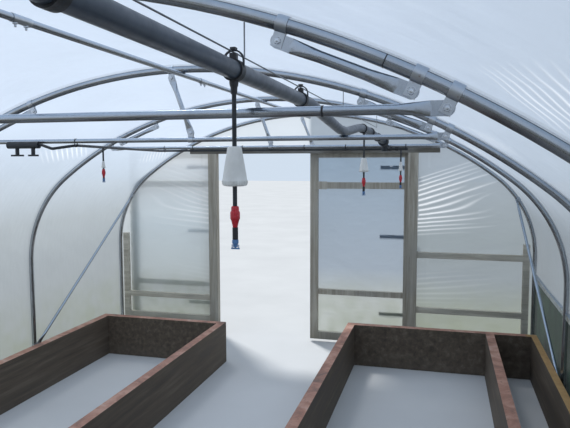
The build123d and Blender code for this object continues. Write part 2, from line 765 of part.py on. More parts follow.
# Two-way valve on the near side of the second crop bar, its levers below
MANIFOLD_X0 = -1090
MANIFOLD_X1 = -885
MANIFOLD_Y = H2_Y - BAR_R - GAP - MANIFOLD_R
MANIFOLD_Z = BAR_Z - 20
LEVERS = ((-1031, 75), (-925, 58))
with BuildPart() as hose_manifold:
    rod((MANIFOLD_X0, MANIFOLD_Y, MANIFOLD_Z), (MANIFOLD_X1, MANIFOLD_Y, MANIFOLD_Z), MANIFOLD_R)
    for x, lever in LEVERS:
        rod((x, MANIFOLD_Y, MANIFOLD_Z), (x, MANIFOLD_Y, MANIFOLD_Z - 58), 11)
        block(x - lever / 2, x + lever / 2, MANIFOLD_Y - 9, MANIFOLD_Y + 9, MANIFOLD_Z - 64, MANIFOLD_Z - 54)
hose_manifold.part.label = "hose_manifold"
export_step(hose_manifold.part, "parts/hose_manifold.step")

# Thin hose tied under the far crop bar, then forward to the second bar and its valve
HOSE_STOPS = [
    (1080, HOSE_Y, HOSE_Z),
    (-930, HOSE_Y, HOSE_Z),
    (-668, H2_Y - 2, HOSE_Z),
    (-800, MANIFOLD_Y, MANIFOLD_Z - 22),
    (MANIFOLD_X1 + 2 * HOSE_R, MANIFOLD_Y, MANIFOLD_Z),
    (MANIFOLD_X1 + GAP, MANIFOLD_Y, MANIFOLD_Z),
]
with BuildPart() as branch_hose:
    with BuildLine() as hose_route:
        FilletPolyline(*HOSE_STOPS, radius=30)
    with BuildSketch(Plane(origin=hose_route.line @ 0, z_dir=hose_route.line % 0)):
        Circle(HOSE_R)
    sweep(path=hose_route.line)
branch_hose.part.label = "branch_hose"
export_step(branch_hose.part, "parts/branch_hose.step")

# Support wire, and the short ties from the hoops
with BuildPart() as pipe_wire:
    rod((PIPE_X, NEAR_Y + 25, WIRE_Z), (PIPE_X, H3_Y, WIRE_Z), WIRE_R)
pipe_wire.part.label = "pipe_wire"
export_step(pipe_wire.part, "parts/pipe_wire.step")

wire_angle = math.asin(PIPE_X / CROWN_R)
HOOP_UNDER = CROWN_Z + CROWN_R * math.cos(wire_angle) - HOOP_R / math.cos(wire_angle)
with BuildPart() as wire_ties:
    for y in INNER_HOOPS:
        rod((PIPE_X, y, WIRE_Z + WIRE_R + GAP), (PIPE_X, y, HOOP_UNDER - 1), WIRE_R)
wire_ties.part.label = "wire_ties"
export_step(wire_ties.part, "parts/wire_ties.step")

# Hangers: a long loop round pipe and wire
HANGER_YS = [H1_Y - 80 + HANGER_STEP * n for n in range(-3, 2)]
HANGER_LOW = PIPE_Z - PIPE_R - 0.5
HANGER_HIGH = WIRE_Z + WIRE_R + 0.5
HANGER_INSIDE = 2 * PIPE_R + 1
with BuildPart() as pipe_hangers:
    tall = HANGER_HIGH - HANGER_LOW
    for y in HANGER_YS:
        with BuildSketch(cross_plane(y)):
            with Locations((PIPE_X, (HANGER_LOW + HANGER_HIGH) / 2)):
                SlotOverall(tall + 2 * HANGER_T, HANGER_INSIDE + 2 * HANGER_T, rotation=90)
                SlotOverall(tall, HANGER_INSIDE, rotation=90, mode=Mode.SUBTRACT)
        extrude(amount=HANGER_W / 2, both=True)
pipe_hangers.part.label = "pipe_hangers"
export_step(pipe_hangers.part, "parts/pipe_hangers.step")

# Drops: x, y, top, weight top, weight length, weight radius, valve top, tail
UNDER_HOSE = HOSE_Z - HOSE_R
DROPS = [
    (PIPE_X, H1_Y - 80, HANGER_LOW - HANGER_T, 1914, 96, 31, 1770, 30),
    (PIPE_X + 22, H2_Y + 640, RISE_Z - PIPE_R, 1905, 85, 27, 1785, 30),
    (1030, HOSE_Y, UNDER_HOSE, 1882, 67, 15, 1785, 22),
    (-735, H2_Y + 384, UNDER_HOSE, 1890, 44, 13, 1840, 8),
]
VALVE_H = 52
VALVE_R = 11.5
TIP_R = 6.5
TAPER_H = 20
DROP_NAMES = ("near_drop_hose", "middle_drop_hose", "right_drop_hose", "left_drop_hose")
for name, (x, y, top, w_top, w_len, w_r, v_top, tail) in zip(DROP_NAMES, DROPS):
    with BuildPart() as drop_hose:
        rod((x, y, top - 0.05), (x, y, v_top - VALVE_H - tail), DROP_R)
    drop_hose.part.label = name
    export_step(drop_hose.part, "parts/" + name + ".step")

with BuildPart() as drop_weights:
    for x, y, top, w_top, w_len, w_r, v_top, tail in DROPS:
        with BuildSketch(Plane(origin=(x, y, w_top - w_len))):
            Circle(w_r - 1)
        with BuildSketch(Plane(origin=(x, y, w_top - 0.85 * w_len))):
            Circle(w_r)
        with BuildSketch(Plane(origin=(x, y, w_top))):
            Circle(w_r / 2)
        loft(ruled=True)
        with BuildSketch(Plane(origin=(x, y, w_top - w_len - 1))):
            Circle(DROP_R + GAP)
        extrude(amount=w_len + 2, mode=Mode.SUBTRACT)
drop_weights.part.label = "drop_weights"
export_step(drop_weights.part, "parts/drop_weights.step")

with BuildPart() as drop_valves:
    for x, y, top, w_top, w_len, w_r, v_top, tail in DROPS:
        rod((x, y, v_top - VALVE_H + TAPER_H), (x, y, v_top), VALVE_R)
        with BuildSketch(Plane(origin=(x, y, v_top - VALVE_H))):
            Circle(TIP_R)
        with BuildSketch(Plane(origin=(x, y, v_top - VALVE_H + TAPER_H))):
            Circle(VALVE_R)
        loft(ruled=True)
        with BuildSketch(Plane(origin=(x, y, v_top - VALVE_H - 1))):
            Circle(DROP_R + GAP)
        extrude(amount=VALVE_H + 2, mode=Mode.SUBTRACT)
drop_valves.part.label = "drop_valves"
export_step(drop_valves.part, "parts/drop_valves.step")

with BuildPart() as mist_nozzles:
    for x, y, top, w_top, w_len, w_r, v_top, tail in DROPS:
        tip = v_top - VALVE_H - tail - GAP
        rod((x, y, tip), (x, y, tip - 18), 8)
        block(x - 11, x + 11, y - 3, y + 3, tip - 24, tip - 16)
mist_nozzles.part.label = "mist_nozzles"
export_step(mist_nozzles.part, "parts/mist_nozzles.step")
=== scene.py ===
"""Looks for the polytunnel greenhouse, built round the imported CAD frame."""
import math

import bpy
from mathutils import Matrix, Vector, noise


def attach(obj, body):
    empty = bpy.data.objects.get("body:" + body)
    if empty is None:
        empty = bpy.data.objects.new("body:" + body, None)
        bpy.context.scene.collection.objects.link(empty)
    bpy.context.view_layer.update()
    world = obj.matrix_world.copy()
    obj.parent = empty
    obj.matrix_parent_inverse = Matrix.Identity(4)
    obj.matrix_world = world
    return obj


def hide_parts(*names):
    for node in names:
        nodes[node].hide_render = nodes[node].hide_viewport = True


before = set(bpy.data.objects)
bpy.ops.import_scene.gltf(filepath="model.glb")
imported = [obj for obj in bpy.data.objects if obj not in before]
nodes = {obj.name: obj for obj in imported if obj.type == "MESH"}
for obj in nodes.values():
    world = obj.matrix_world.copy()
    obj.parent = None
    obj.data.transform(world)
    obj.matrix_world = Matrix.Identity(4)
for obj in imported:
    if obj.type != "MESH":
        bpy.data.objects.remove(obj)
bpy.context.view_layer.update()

# Sizes in metres, the same as the CAD model's
BAYS = 5
BAY = 1.52
MID_Y = -0.024
HOOP_Y = [MID_Y + BAY * (n - BAYS / 2) for n in range(BAYS + 1)]
NEAR_Y, FAR_Y = HOOP_Y[0], HOOP_Y[-1]
H1_Y, H2_Y, H3_Y = HOOP_Y[2:5]
INNER_HOOPS = HOOP_Y[1:-1]
HOOP_R = 0.019
LEG_X = 2.185
LEG_H = 0.992
SHOULDER_R = 0.956
SHOULDER_X = LEG_X - SHOULDER_R
CROWN_R = 2.954
CROWN_ANGLE = math.asin(SHOULDER_X / (CROWN_R - SHOULDER_R))
JOINT_ANGLE = math.radians(24)
CROWN_Z = LEG_H - (CROWN_R - SHOULDER_R) * math.cos(CROWN_ANGLE)
GAP = 0.0003
CLIP_T = 0.0025
CLIP_REACH = 0.042
BAR_R = 0.0127
BAR_Z = 2.0
FLAT_T = 0.005
INNER_R = HOOP_R + CLIP_T + 2 * GAP
FILM_T = 0.003
RAIL_Z = 0.8
DOOR_HALF = 1.0
POST_W = 0.095
POST_EDGE = DOOR_HALF + POST_W + 0.003
HEADER_Z = 1.975
HEADER_H = 0.06
LEAF_T = 0.042
LEAF_Z0, LEAF_Z1 = 0.03, 2.0
LEAF_IN, LEAF_OUT = 0.004, 1.04
STILE_W = 0.08
LEAF_FACE = INNER_R + FILM_T + 0.006
LEAF_FILM = LEAF_FACE + LEAF_T + GAP
HINGE_OUT = LEAF_FILM + FILM_T + 0.010
HINGE_X = LEAF_OUT + 0.018
HINGE_ZS = (0.33, 1.13, 1.83)
STRAP_FACE = 0.004 + GAP
PIPE_R = 0.0225
PIPE_X = 0.85
PIPE_Z = 2.095
WIRE_Z = 2.137
HANGER_PITCH = 0.69
HOSE_R = 0.008
HOSE_Z = BAR_Z - BAR_R - CLIP_T - 2 * GAP - HOSE_R
HOSE_Y = H3_Y - 0.002
DROP_R = 0.0055
VALVE_H = 0.052
RISE_Z = 2.077
RIDGE_Z = CROWN_Z + CROWN_R - HOOP_R - GAP - BAR_R

# The photograph's frame and the camera that was fitted to it
PHOTO_W = 570
FOCAL_PX = 597
SENSOR = 36
CAM_POS = (1.34, -2.233, 1.873)
CAM_YAW = math.radians(14.9)
CAM_DOWN = math.radians(4.845)
CAM_ROLL = math.radians(-0.117)


def make_camera():
    data = bpy.data.cameras.new("photo_camera")
    data.sensor_fit = "HORIZONTAL"
    data.sensor_width = SENSOR
    data.lens = SENSOR * FOCAL_PX / PHOTO_W
    data.clip_start = 0.02
    data.clip_end = 200
    camera = bpy.data.objects.new("photo_camera", data)
    bpy.context.scene.collection.objects.link(camera)
    ahead = Vector((-math.sin(CAM_YAW), math.cos(CAM_YAW), 0))
    right = Vector((math.cos(CAM_YAW), math.sin(CAM_YAW), 0))
    up_z = Vector((0, 0, 1))
    look = ahead * math.cos(CAM_DOWN) - up_z * math.sin(CAM_DOWN)
    up = ahead * math.sin(CAM_DOWN) + up_z * math.cos(CAM_DOWN)
    x_axis = right * math.cos(CAM_ROLL) + up * math.sin(CAM_ROLL)
    y_axis = up * math.cos(CAM_ROLL) - right * math.sin(CAM_ROLL)
    turn = Matrix((x_axis, y_axis, -look)).transposed().to_4x4()
    camera.matrix_world = Matrix.Translation(CAM_POS) @ turn
    bpy.context.scene.camera = camera


make_camera()


# Node helpers
class Shader:
    """A material with one Principled shader, and short calls for the nodes that feed it."""

    def __init__(self, name):
        self.material = bpy.data.materials.new(name)
        self.material.use_nodes = True
        self.tree = self.material.node_tree
        self.tree.nodes.clear()
        self.surface = self.node("ShaderNodeBsdfPrincipled")
        self.output = self.node("ShaderNodeOutputMaterial")
        self.link(self.surface.outputs[0], self.output.inputs["Surface"])
        self.place = self.node("ShaderNodeTexCoord").outputs["Object"]

    def node(self, kind, **settings):
        made = self.tree.nodes.new(kind)
        for key, value in settings.items():
            setattr(made, key, value)
        return made

    def link(self, source, target):
        self.tree.links.new(source, target)

    def set(self, **values):
        for key, value in values.items():
            self.surface.inputs[key.replace("_", " ")].default_value = value
        return self

    def stretched(self, scale):
        mapping = self.node("ShaderNodeMapping")
        mapping.inputs["Scale"].default_value = scale
        self.link(self.place, mapping.inputs["Vector"])
        return mapping.outputs["Vector"]

    def noise(self, scale, detail=4, rough=0.6, vector=None, warp=0.0):
        made = self.node("ShaderNodeTexNoise")
        made.inputs["Scale"].default_value = scale
        made.inputs["Detail"].default_value = detail
        made.inputs["Roughness"].default_value = rough
        made.inputs["Distortion"].default_value = warp
        self.link(vector or self.place, made.inputs["Vector"])
        return made.outputs["Fac"]

    def cells(self, scale, vector=None):
        made = self.node("ShaderNodeTexVoronoi")
        made.inputs["Scale"].default_value = scale
        self.link(vector or self.place, made.inputs["Vector"])
        return made.outputs["Color"]

    def span(self, value, low, high, to_low=0.0, to_high=1.0):
        made = self.node("ShaderNodeMapRange")
        for key, number in (("From Min", low), ("From Max", high), ("To Min", to_low), ("To Max", to_high)):
            made.inputs[key].default_value = number
        self.link(value, made.inputs["Value"])
        return made.outputs["Result"]

    def math(self, kind, a, b):
        made = self.node("ShaderNodeMath", operation=kind)
        for n, value in enumerate((a, b)):
            if isinstance(value, (int, float)):
                made.inputs[n].default_value = value
            else:
                self.link(value, made.inputs[n])
        return made.outputs[0]

    def ramp(self, value, *stops):
        made = self.node("ShaderNodeValToRGB")
        elements = made.color_ramp.elements
        while len(elements) < len(stops):
            elements.new(0.5)
        for element, (at, colour) in zip(elements, stops):
            element.position = at
            element.color = (*colour, 1)
        self.link(value, made.inputs["Fac"])
        return made.outputs["Color"]

    def mix(self, share, a, b):
        made = self.node("ShaderNodeMix", data_type="RGBA")
        for socket, value in zip((made.inputs[0], made.inputs[6], made.inputs[7]), (share, a, b)):
            if isinstance(value, tuple):
                socket.default_value = (*value, 1)
            elif isinstance(value, (int, float)):
                socket.default_value = value
            else:
                self.link(value, socket)
        return made.outputs[2]

    def normal_axis(self, axis):
        geometry = self.node("ShaderNodeNewGeometry")
        split = self.node("ShaderNodeSeparateXYZ")
        self.link(geometry.outputs["Normal"], split.inputs[0])
        return split.outputs[axis]

    def place_axis(self, axis):
        split = self.node("ShaderNodeSeparateXYZ")
        self.link(self.place, split.inputs[0])
        return split.outputs[axis]

    def colour(self, source):
        self.link(source, self.surface.inputs["Base Color"])
        return self

    def roughness(self, source):
        self.link(source, self.surface.inputs["Roughness"])
        return self

    def total(self, *terms, plus=0.0):
        """Sum of factor times value over the terms, and of a number."""
        summed = None
        for factor, value in terms:
            part = self.math("MULTIPLY", value, factor)
            summed = part if summed is None else self.math("ADD", summed, part)
        return self.math("ADD", summed, plus) if plus else summed

    def bump(self, height, strength, distance):
        made = self.node("ShaderNodeBump")
        made.inputs["Strength"].default_value = strength
        made.inputs["Distance"].default_value = distance
        self.link(height, made.inputs["Height"])
        self.link(made.outputs["Normal"], self.surface.inputs["Normal"])
        return made.outputs["Normal"]


SPANGLE_SCALE = 150
SPANGLE_SHARE = 0.04
RUST_TONE = (0.16, 0.075, 0.035)


def galvanised(name, dark, pale, under, painted_sky, rough_low, rough_high, rust=0.0):
    """Zinc with a faint spangle, paler and bluer towards its top as a painted sky reflection, darker below as
    painted shade, with darker blotches at random.
    """
    s = Shader(name).set(Metallic=0.9)
    grey = s.ramp(s.noise(5, 3, 0.55), (0.3, dark), (0.7, pale))
    spangle = s.node("ShaderNodeHueSaturation")
    spangle.inputs["Saturation"].default_value = 0.2
    s.link(s.mix(SPANGLE_SHARE, grey, s.cells(SPANGLE_SCALE)), spangle.inputs["Color"])
    # Painted light: faces that look up take the sky tone as a painted reflection, and faces that look down
    # take the under tone as painted shade; the noise also mixes the under tone in as blotches at random.
    facing = s.normal_axis("Z")
    tone = s.mix(s.span(facing, -0.15, 0.45, 0.0, 0.7), spangle.outputs["Color"], painted_sky)
    tone = s.mix(s.span(s.noise(9, 3, 0.6), 0.55, 0.80, 0.0, 0.25), tone, under)
    tone = s.mix(s.span(facing, -0.95, -0.10, 0.85, 0.0), tone, under)
    if rust:
        spots = s.span(s.noise(60, 4, 0.7), 0.66 - 0.12 * rust, 0.75)
        tone = s.mix(spots, tone, RUST_TONE)
    s.colour(tone)
    s.roughness(s.span(s.noise(12, 3), 0.3, 0.75, rough_low, rough_high))
    s.bump(s.noise(30, 2), 0.05, 0.0003)
    return s.material


GREY_WEATHER = (0.34, 0.34, 0.32)
CRACK_TONE = (0.05, 0.045, 0.035)
FOOT_TONE = (0.085, 0.08, 0.055)
FOOT_TOP = 0.28
PAINTED_TOP_HIGHLIGHT = (0.66, 0.63, 0.55)


def grain_scale(axis, across, along):
    """Texture scale of grain that runs along one axis."""
    return [along if name == axis else across for name in "XYZ"]


def timber(name, axis, dark, mid, pale):
    """Sawn wood with its grain along one axis."""
    s = Shader(name)
    grain = s.noise(1.0, 7, 0.62, s.stretched(grain_scale(axis, 26.0, 1.3)), 0.4)
    blotch = s.noise(2.2, 4, 0.6)
    fine = s.noise(1.0, 4, 0.7, s.stretched(grain_scale(axis, 140.0, 5.0)))
    wood = s.ramp(grain, (0.28, dark), (0.5, mid), (0.72, pale))
    weather = s.mix(s.span(blotch, 0.42, 0.68, 0.0, 0.45), wood, GREY_WEATHER)
    cracks = s.span(fine, 0.60, 0.72)
    tone = s.mix(s.math("MULTIPLY", cracks, 0.6), weather, CRACK_TONE)
    foot = s.span(s.place_axis("Z"), 0.0, FOOT_TOP, 0.55, 0.0)
    tone = s.mix(foot, tone, FOOT_TONE)
    # Painted highlight: faces that look up are made paler.
    top = s.span(s.normal_axis("Z"), 0.6, 0.95, 0.0, 0.7)
    tone = s.mix(top, tone, PAINTED_TOP_HIGHLIGHT)
    s.colour(tone)
    s.roughness(s.span(grain, 0.3, 0.7, 0.72, 0.92))
    s.bump(s.math("ADD", grain, s.math("MULTIPLY", fine, 0.7)), 0.55, 0.0022)
    return s.material


SPLASH_TONE = (0.16, 0.14, 0.11)
WORN_TONE = (0.14, 0.10, 0.085)
OUTER_BOARD_X = 2.05


def bed_boards():
    """Boards on edge, stained dark on the sides, with worn paint on their top edges."""
    s = Shader("bed_boards")
    grain = s.noise(1.0, 6, 0.6, s.stretched(grain_scale("Y", 24, 1.4)), 0.3)
    fine = s.noise(1.0, 4, 0.7, s.stretched(grain_scale("Y", 120, 6)))
    side = s.ramp(
        grain, (0.3, (0.058, 0.042, 0.030)), (0.55, (0.115, 0.088, 0.064)), (0.75, (0.19, 0.155, 0.12)),
    )
    splash = s.span(s.place_axis("Z"), 0.0, 0.16, 0.5, 0.0)
    side = s.mix(s.math("MULTIPLY", splash, s.noise(14, 4)), side, SPLASH_TONE)
    paint = s.ramp(
        s.noise(7, 6, 0.62, None, 0.6),
        (0.30, (0.20, 0.125, 0.10)),
        (0.46, (0.38, 0.19, 0.14)),
        (0.60, (0.50, 0.29, 0.22)),
        (0.74, (0.50, 0.41, 0.36)),
    )
    outer = s.span(s.place_axis("X"), OUTER_BOARD_X, OUTER_BOARD_X + 0.01)
    ochre = s.ramp(s.noise(8, 5), (0.3, (0.34, 0.20, 0.08)), (0.7, (0.52, 0.33, 0.14)))
    paint = s.mix(outer, paint, ochre)
    worn = s.mix(s.span(s.noise(42, 5), 0.60, 0.70, 0.0, 0.8), paint, WORN_TONE)
    top = s.span(s.normal_axis("Z"), 0.7, 0.9)
    s.colour(s.mix(top, side, worn))
    s.roughness(s.span(grain, 0.3, 0.7, 0.6, 0.88))
    s.bump(s.math("ADD", grain, s.math("MULTIPLY", fine, 0.6)), 0.5, 0.002)
    return s.material


# Bundles of sharp creases that run slantwise down to each hoop at the turn of the roof:
# rise is the way up the roof from the turn, and across counts from crease to crease
TURN_X, TURN_Z = 1.50, 1.985
TURN_RISE = (-0.84, 0.54)
BUNDLE_ALONG = (0.80, -0.59)
BUNDLE_ACROSS = (0.59, 0.80)
BUNDLE_PITCH = 0.039
BUNDLE_PHASE = 0.011
BUNDLE_SHARPNESS = 4
BUNDLE_LEAN = -0.83
BUNDLE_SHIFT = 0.081
BUNDLE_HALF = 0.20
BUNDLE_FIRST = (-0.47, -0.33)
BUNDLE_LAST = (-0.10, -0.04)
BUNDLE_DEPTH = 0.0022


def hoop_creases(s, bay):
    """Crests of the bundles from 0 to 1; the bays repeat, and the two sides mirror."""
    x = s.math("ABSOLUTE", s.place_axis("X"), 0)
    before = s.total((BAY, bay), plus=-BAY)
    at_turn = -TURN_RISE[0] * TURN_X - TURN_RISE[1] * TURN_Z
    rise = s.total((TURN_RISE[0], x), (TURN_RISE[1], s.place_axis("Z")), plus=at_turn)
    across = s.total((BUNDLE_ACROSS[0], before), (BUNDLE_ACROSS[1], rise), plus=BUNDLE_PHASE)
    along = s.total(
        (BUNDLE_ALONG[0], before), (BUNDLE_ALONG[1], rise), (BUNDLE_LEAN, across), plus=BUNDLE_SHIFT,
    )
    wave = s.math("COSINE", s.total((2 * math.pi / BUNDLE_PITCH, across)), 0)
    crest = s.math("POWER", s.total((0.5, wave), plus=0.5), BUNDLE_SHARPNESS)
    ratio = s.total((1 / BUNDLE_HALF, along))
    fade = s.math("MAXIMUM", s.math("SUBTRACT", 1.0, s.math("MULTIPLY", ratio, ratio)), 0.0)
    start = s.span(across, *BUNDLE_FIRST)
    stop = s.span(across, *BUNDLE_LAST, 1.0, 0.0)
    return s.math("MULTIPLY", crest, s.math("MULTIPLY", fade, s.math("MULTIPLY", start, stop)))


FILM_TOP = 2.4
SIDE_BLEND = 0.02
CLEAR_SHARE = 0.10
CLEAR_SHARE_LEFT = 0.30
GLOW_SHARE = (0.70, 0.97)
HAZE_DEPTH = 0.35
CRUMPLE = 0.005
# Painted shade in a band on the film beside each hoop: its strength, and its outer and inner distances from
# the hoop.
HOOP_SHADE_SHARE = 0.35
HOOP_SHADE_OUT, HOOP_SHADE_IN = 0.045, 0.014
BLACK = (0.0, 0.0, 0.0)
ALGAE_TONE = (0.34, 0.37, 0.25)
ALGAE_TOP = 0.75
# Colour of the painted shade beside the hoops.
HOOP_SHADE_TONE = (0.30, 0.33, 0.36)
# Colour of the painted highlight on the crease crests.
CREASE_GLINT_WHITE = (0.97, 0.98, 1.0)


def painted_light_tint(s, tones):
    """Colour by height from pairs of height and colour; the tables paint light and shade on the film."""
    level = s.span(s.place_axis("Z"), 0.0, FILM_TOP)
    return s.ramp(level, *((z / FILM_TOP, colour) for z, colour in tones))


def polythene(name, right, left, crumple_scale, glint_whitening, on_hoops=False):
    """Film that glows with the light behind it; right and left are its tones by height on each side, which
    are painted light and shade.
    """
    s = Shader(name).set(Roughness=0.28, IOR=1.45)
    side = s.span(s.place_axis("X"), -SIDE_BLEND, SIDE_BLEND)
    tint = s.mix(side, painted_light_tint(s, left), painted_light_tint(s, right)) if left else painted_light_tint(s, right)
    haze = s.span(s.noise(1.7, 1, 0.5), 0.3, 0.7, 0.86, 1.0)
    tint = s.mix(haze, s.mix(HAZE_DEPTH, tint, BLACK), tint)
    low_down = s.span(s.place_axis("Z"), 0.1, ALGAE_TOP, 0.6, 0.0)
    algae = s.math("MULTIPLY", low_down, s.span(s.noise(5, 1, 0.6), 0.35, 0.65))
    tint = s.mix(algae, tint, ALGAE_TONE)
    height = s.math("MULTIPLY", s.noise(1.0, 1, 0.5, s.stretched(crumple_scale)), CRUMPLE)
    if on_hoops:
        bay = s.math("FRACT", s.total((1 / BAY, s.place_axis("Y")), plus=-NEAR_Y / BAY), 0)
        # Painted shade: the film is darkened in a band beside each hoop.
        off = s.math("ABSOLUTE", s.total((1, bay), plus=-0.5), 0)
        hoop_shade = s.span(off, 0.5 - HOOP_SHADE_OUT / BAY, 0.5 - HOOP_SHADE_IN / BAY, 0.0, HOOP_SHADE_SHARE)
        tint = s.mix(hoop_shade, tint, HOOP_SHADE_TONE)
        crest = hoop_creases(s, bay)
        height = s.math("ADD", height, s.math("MULTIPLY", crest, BUNDLE_DEPTH))
    else:
        crest = s.node("ShaderNodeAttribute", attribute_name="crease").outputs["Fac"]
    # Painted highlight: the crests of the creases are made whiter, for the sun's glints on them.
    tint = s.mix(s.math("MULTIPLY", crest, glint_whitening), tint, CREASE_GLINT_WHITE)
    s.colour(tint)
    normal = s.bump(height, 1.0, 1.0)
    glow = s.node("ShaderNodeBsdfTranslucent")
    s.link(tint, glow.inputs["Color"])
    s.link(normal, glow.inputs["Normal"])
    body = s.node("ShaderNodeMixShader")
    s.link(s.span(crest, 0.0, 1.0, *GLOW_SHARE), body.inputs[0])
    s.link(s.surface.outputs[0], body.inputs[1])
    s.link(glow.outputs[0], body.inputs[2])
    whole = s.node("ShaderNodeMixShader")
    if left:
        clear = s.span(s.place_axis("X"), -SIDE_BLEND, SIDE_BLEND, CLEAR_SHARE_LEFT, CLEAR_SHARE)
        s.link(clear, whole.inputs[0])
    else:
        whole.inputs[0].default_value = CLEAR_SHARE
    s.link(body.outputs[0], whole.inputs[1])
    s.link(s.node("ShaderNodeBsdfTransparent").outputs[0], whole.inputs[2])
    s.link(whole.outputs[0], s.output.inputs["Surface"])
    return s.material


def plastic(name, dark, pale, rough_low, rough_high, grain=60.0, depth=0.0008):
    s = Shader(name)
    s.colour(s.ramp(s.noise(18, 5, 0.62), (0.3, dark), (0.7, pale)))
    s.roughness(s.span(s.noise(grain, 4), 0.3, 0.7, rough_low, rough_high))
    s.bump(s.noise(grain * 3, 3), 0.15, depth)
    return s.material


def shade_net():
    s = Shader("shade_net").set(Roughness=0.85)
    warp = s.node("ShaderNodeTexWave", bands_direction="Y")
    weft = s.node("ShaderNodeTexWave", bands_direction="Z")
    for wave in (warp, weft):
        wave.inputs["Scale"].default_value = 60
        s.link(s.place, wave.inputs["Vector"])
    weave = s.math("MAXIMUM", warp.outputs["Fac"], weft.outputs["Fac"])
    tone = s.ramp(s.noise(6, 5), (0.3, (0.018, 0.050, 0.028)), (0.7, (0.045, 0.105, 0.055)))
    s.colour(tone)
    s.bump(weave, 0.5, 0.001)
    s.link(s.span(weave, 0.25, 0.6, 0.72, 1.0), s.surface.inputs["Alpha"])
    return s.material


# Zinc tones: the under tones are painted shade on the undersides and random blotches, and the sky tones are a
# painted reflection of the sky on the tops.
ZINC_DARK, ZINC_PALE, ZINC_SHADE_AND_BLOTCH = (0.32, 0.36, 0.40), (0.42, 0.47, 0.52), (0.085, 0.092, 0.098)
ZINC_PAINTED_SKY = (0.42, 0.52, 0.65)
DULL_SHADE_AND_BLOTCH = (0.20, 0.21, 0.22)
WOOD_DARK, WOOD_MID, WOOD_PALE = (0.24, 0.21, 0.165), (0.40, 0.365, 0.30), (0.56, 0.53, 0.46)
# The film's tones by height are painted light and shade: the roof gets paler towards the ridge, the left side
# is brighter than the right, and the leaf film on the right is darker towards the top.
ROOF_PAINTED_LIGHT = (
    (0.05, (0.40, 0.42, 0.37)), (0.80, (0.47, 0.50, 0.51)), (1.35, (0.50, 0.54, 0.56)),
    (1.75, (0.63, 0.70, 0.78)), (2.15, (0.77, 0.86, 1.0)),
)
RIGHT_PAINTED_LIGHT = (
    (0.05, (0.42, 0.45, 0.36)), (0.35, (0.39, 0.42, 0.35)), (0.75, (0.35, 0.39, 0.41)),
    (1.15, (0.36, 0.405, 0.42)), (1.85, (0.43, 0.48, 0.53)),
)
LEFT_PAINTED_LIGHT = (
    (0.05, (0.58, 0.60, 0.54)), (0.60, (0.66, 0.70, 0.70)), (1.20, (0.72, 0.78, 0.81)),
    (1.80, (0.95, 0.97, 0.98)),
)
LEAF_PAINTED_LIGHT = (
    (0.05, (0.60, 0.62, 0.56)), (0.45, (0.58, 0.60, 0.56)), (0.80, (0.40, 0.46, 0.53)),
    (1.50, (0.35, 0.43, 0.52)), (1.90, (0.31, 0.40, 0.50)),
)
MATERIALS = {
    "tube": galvanised("galvanised_tube", ZINC_DARK, ZINC_PALE, ZINC_SHADE_AND_BLOTCH, ZINC_PAINTED_SKY, 0.17, 0.27),
    "fitting": galvanised(
        "galvanised_fitting", (0.44, 0.47, 0.50), (0.60, 0.63, 0.66), DULL_SHADE_AND_BLOTCH, ZINC_PAINTED_SKY, 0.26, 0.44, 0.3,
    ),
    "bolt": galvanised(
        "bolt_zinc", (0.62, 0.64, 0.66), (0.76, 0.78, 0.80), (0.34, 0.35, 0.36), ZINC_PAINTED_SKY, 0.20, 0.32,
    ),
    "wire": galvanised(
        "wire_zinc", (0.14, 0.15, 0.17), (0.24, 0.26, 0.28), ZINC_SHADE_AND_BLOTCH, (0.30, 0.34, 0.40), 0.35, 0.55,
    ),
    "rail": galvanised(
        "film_rail", (0.45, 0.48, 0.52), (0.64, 0.68, 0.72), DULL_SHADE_AND_BLOTCH, ZINC_PAINTED_SKY, 0.22, 0.40,
    ),
    "strap": galvanised(
        "hinge_zinc", (0.50, 0.53, 0.56), (0.66, 0.69, 0.72), (0.42, 0.44, 0.46), ZINC_PAINTED_SKY, 0.40, 0.60,
    ),
    "wood_z": timber("timber_upright", "Z", WOOD_DARK, WOOD_MID, WOOD_PALE),
    "wood_x": timber("timber_across", "X", (0.40, 0.36, 0.29), (0.60, 0.56, 0.47), (0.76, 0.72, 0.63)),
    # Painted shade: the headers take a much darker copy of the timber, for the shade that falls on them at
    # the top of the end walls.
    "header": timber("timber_header_shaded", "X", (0.066, 0.058, 0.046), (0.11, 0.10, 0.082), (0.18, 0.17, 0.145)),
    "beds": bed_boards(),
    "film": polythene("polythene_film", ROOF_PAINTED_LIGHT, None, (7, 15, 7), 0.7, on_hoops=True),
    "end_film": polythene("polythene_end", RIGHT_PAINTED_LIGHT, LEFT_PAINTED_LIGHT, (7, 7, 15), 0.9),
    "leaf_film": polythene("polythene_leaf", LEAF_PAINTED_LIGHT, LEFT_PAINTED_LIGHT, (7, 7, 15), 0.5),
    "net": shade_net(),
    "black": plastic("black_plastic", (0.012, 0.012, 0.014), (0.030, 0.029, 0.031), 0.38, 0.6),
    "pipe": plastic("pipe_plastic", (0.030, 0.042, 0.060), (0.052, 0.068, 0.092), 0.30, 0.45, 35),
    "hose": plastic("hose_rubber", (0.012, 0.015, 0.018), (0.030, 0.034, 0.040), 0.40, 0.60),
    "weight": plastic("weight_plastic", (0.72, 0.71, 0.67), (0.87, 0.86, 0.82), 0.42, 0.58),
    "valve": plastic("valve_plastic", (0.44, 0.012, 0.022), (0.62, 0.028, 0.040), 0.20, 0.36),
    "nozzle": plastic("nozzle_plastic", (0.05, 0.13, 0.30), (0.12, 0.26, 0.50), 0.28, 0.44),
    "tape": plastic("foam_tape", (0.62, 0.64, 0.66), (0.80, 0.82, 0.84), 0.6, 0.8),
}

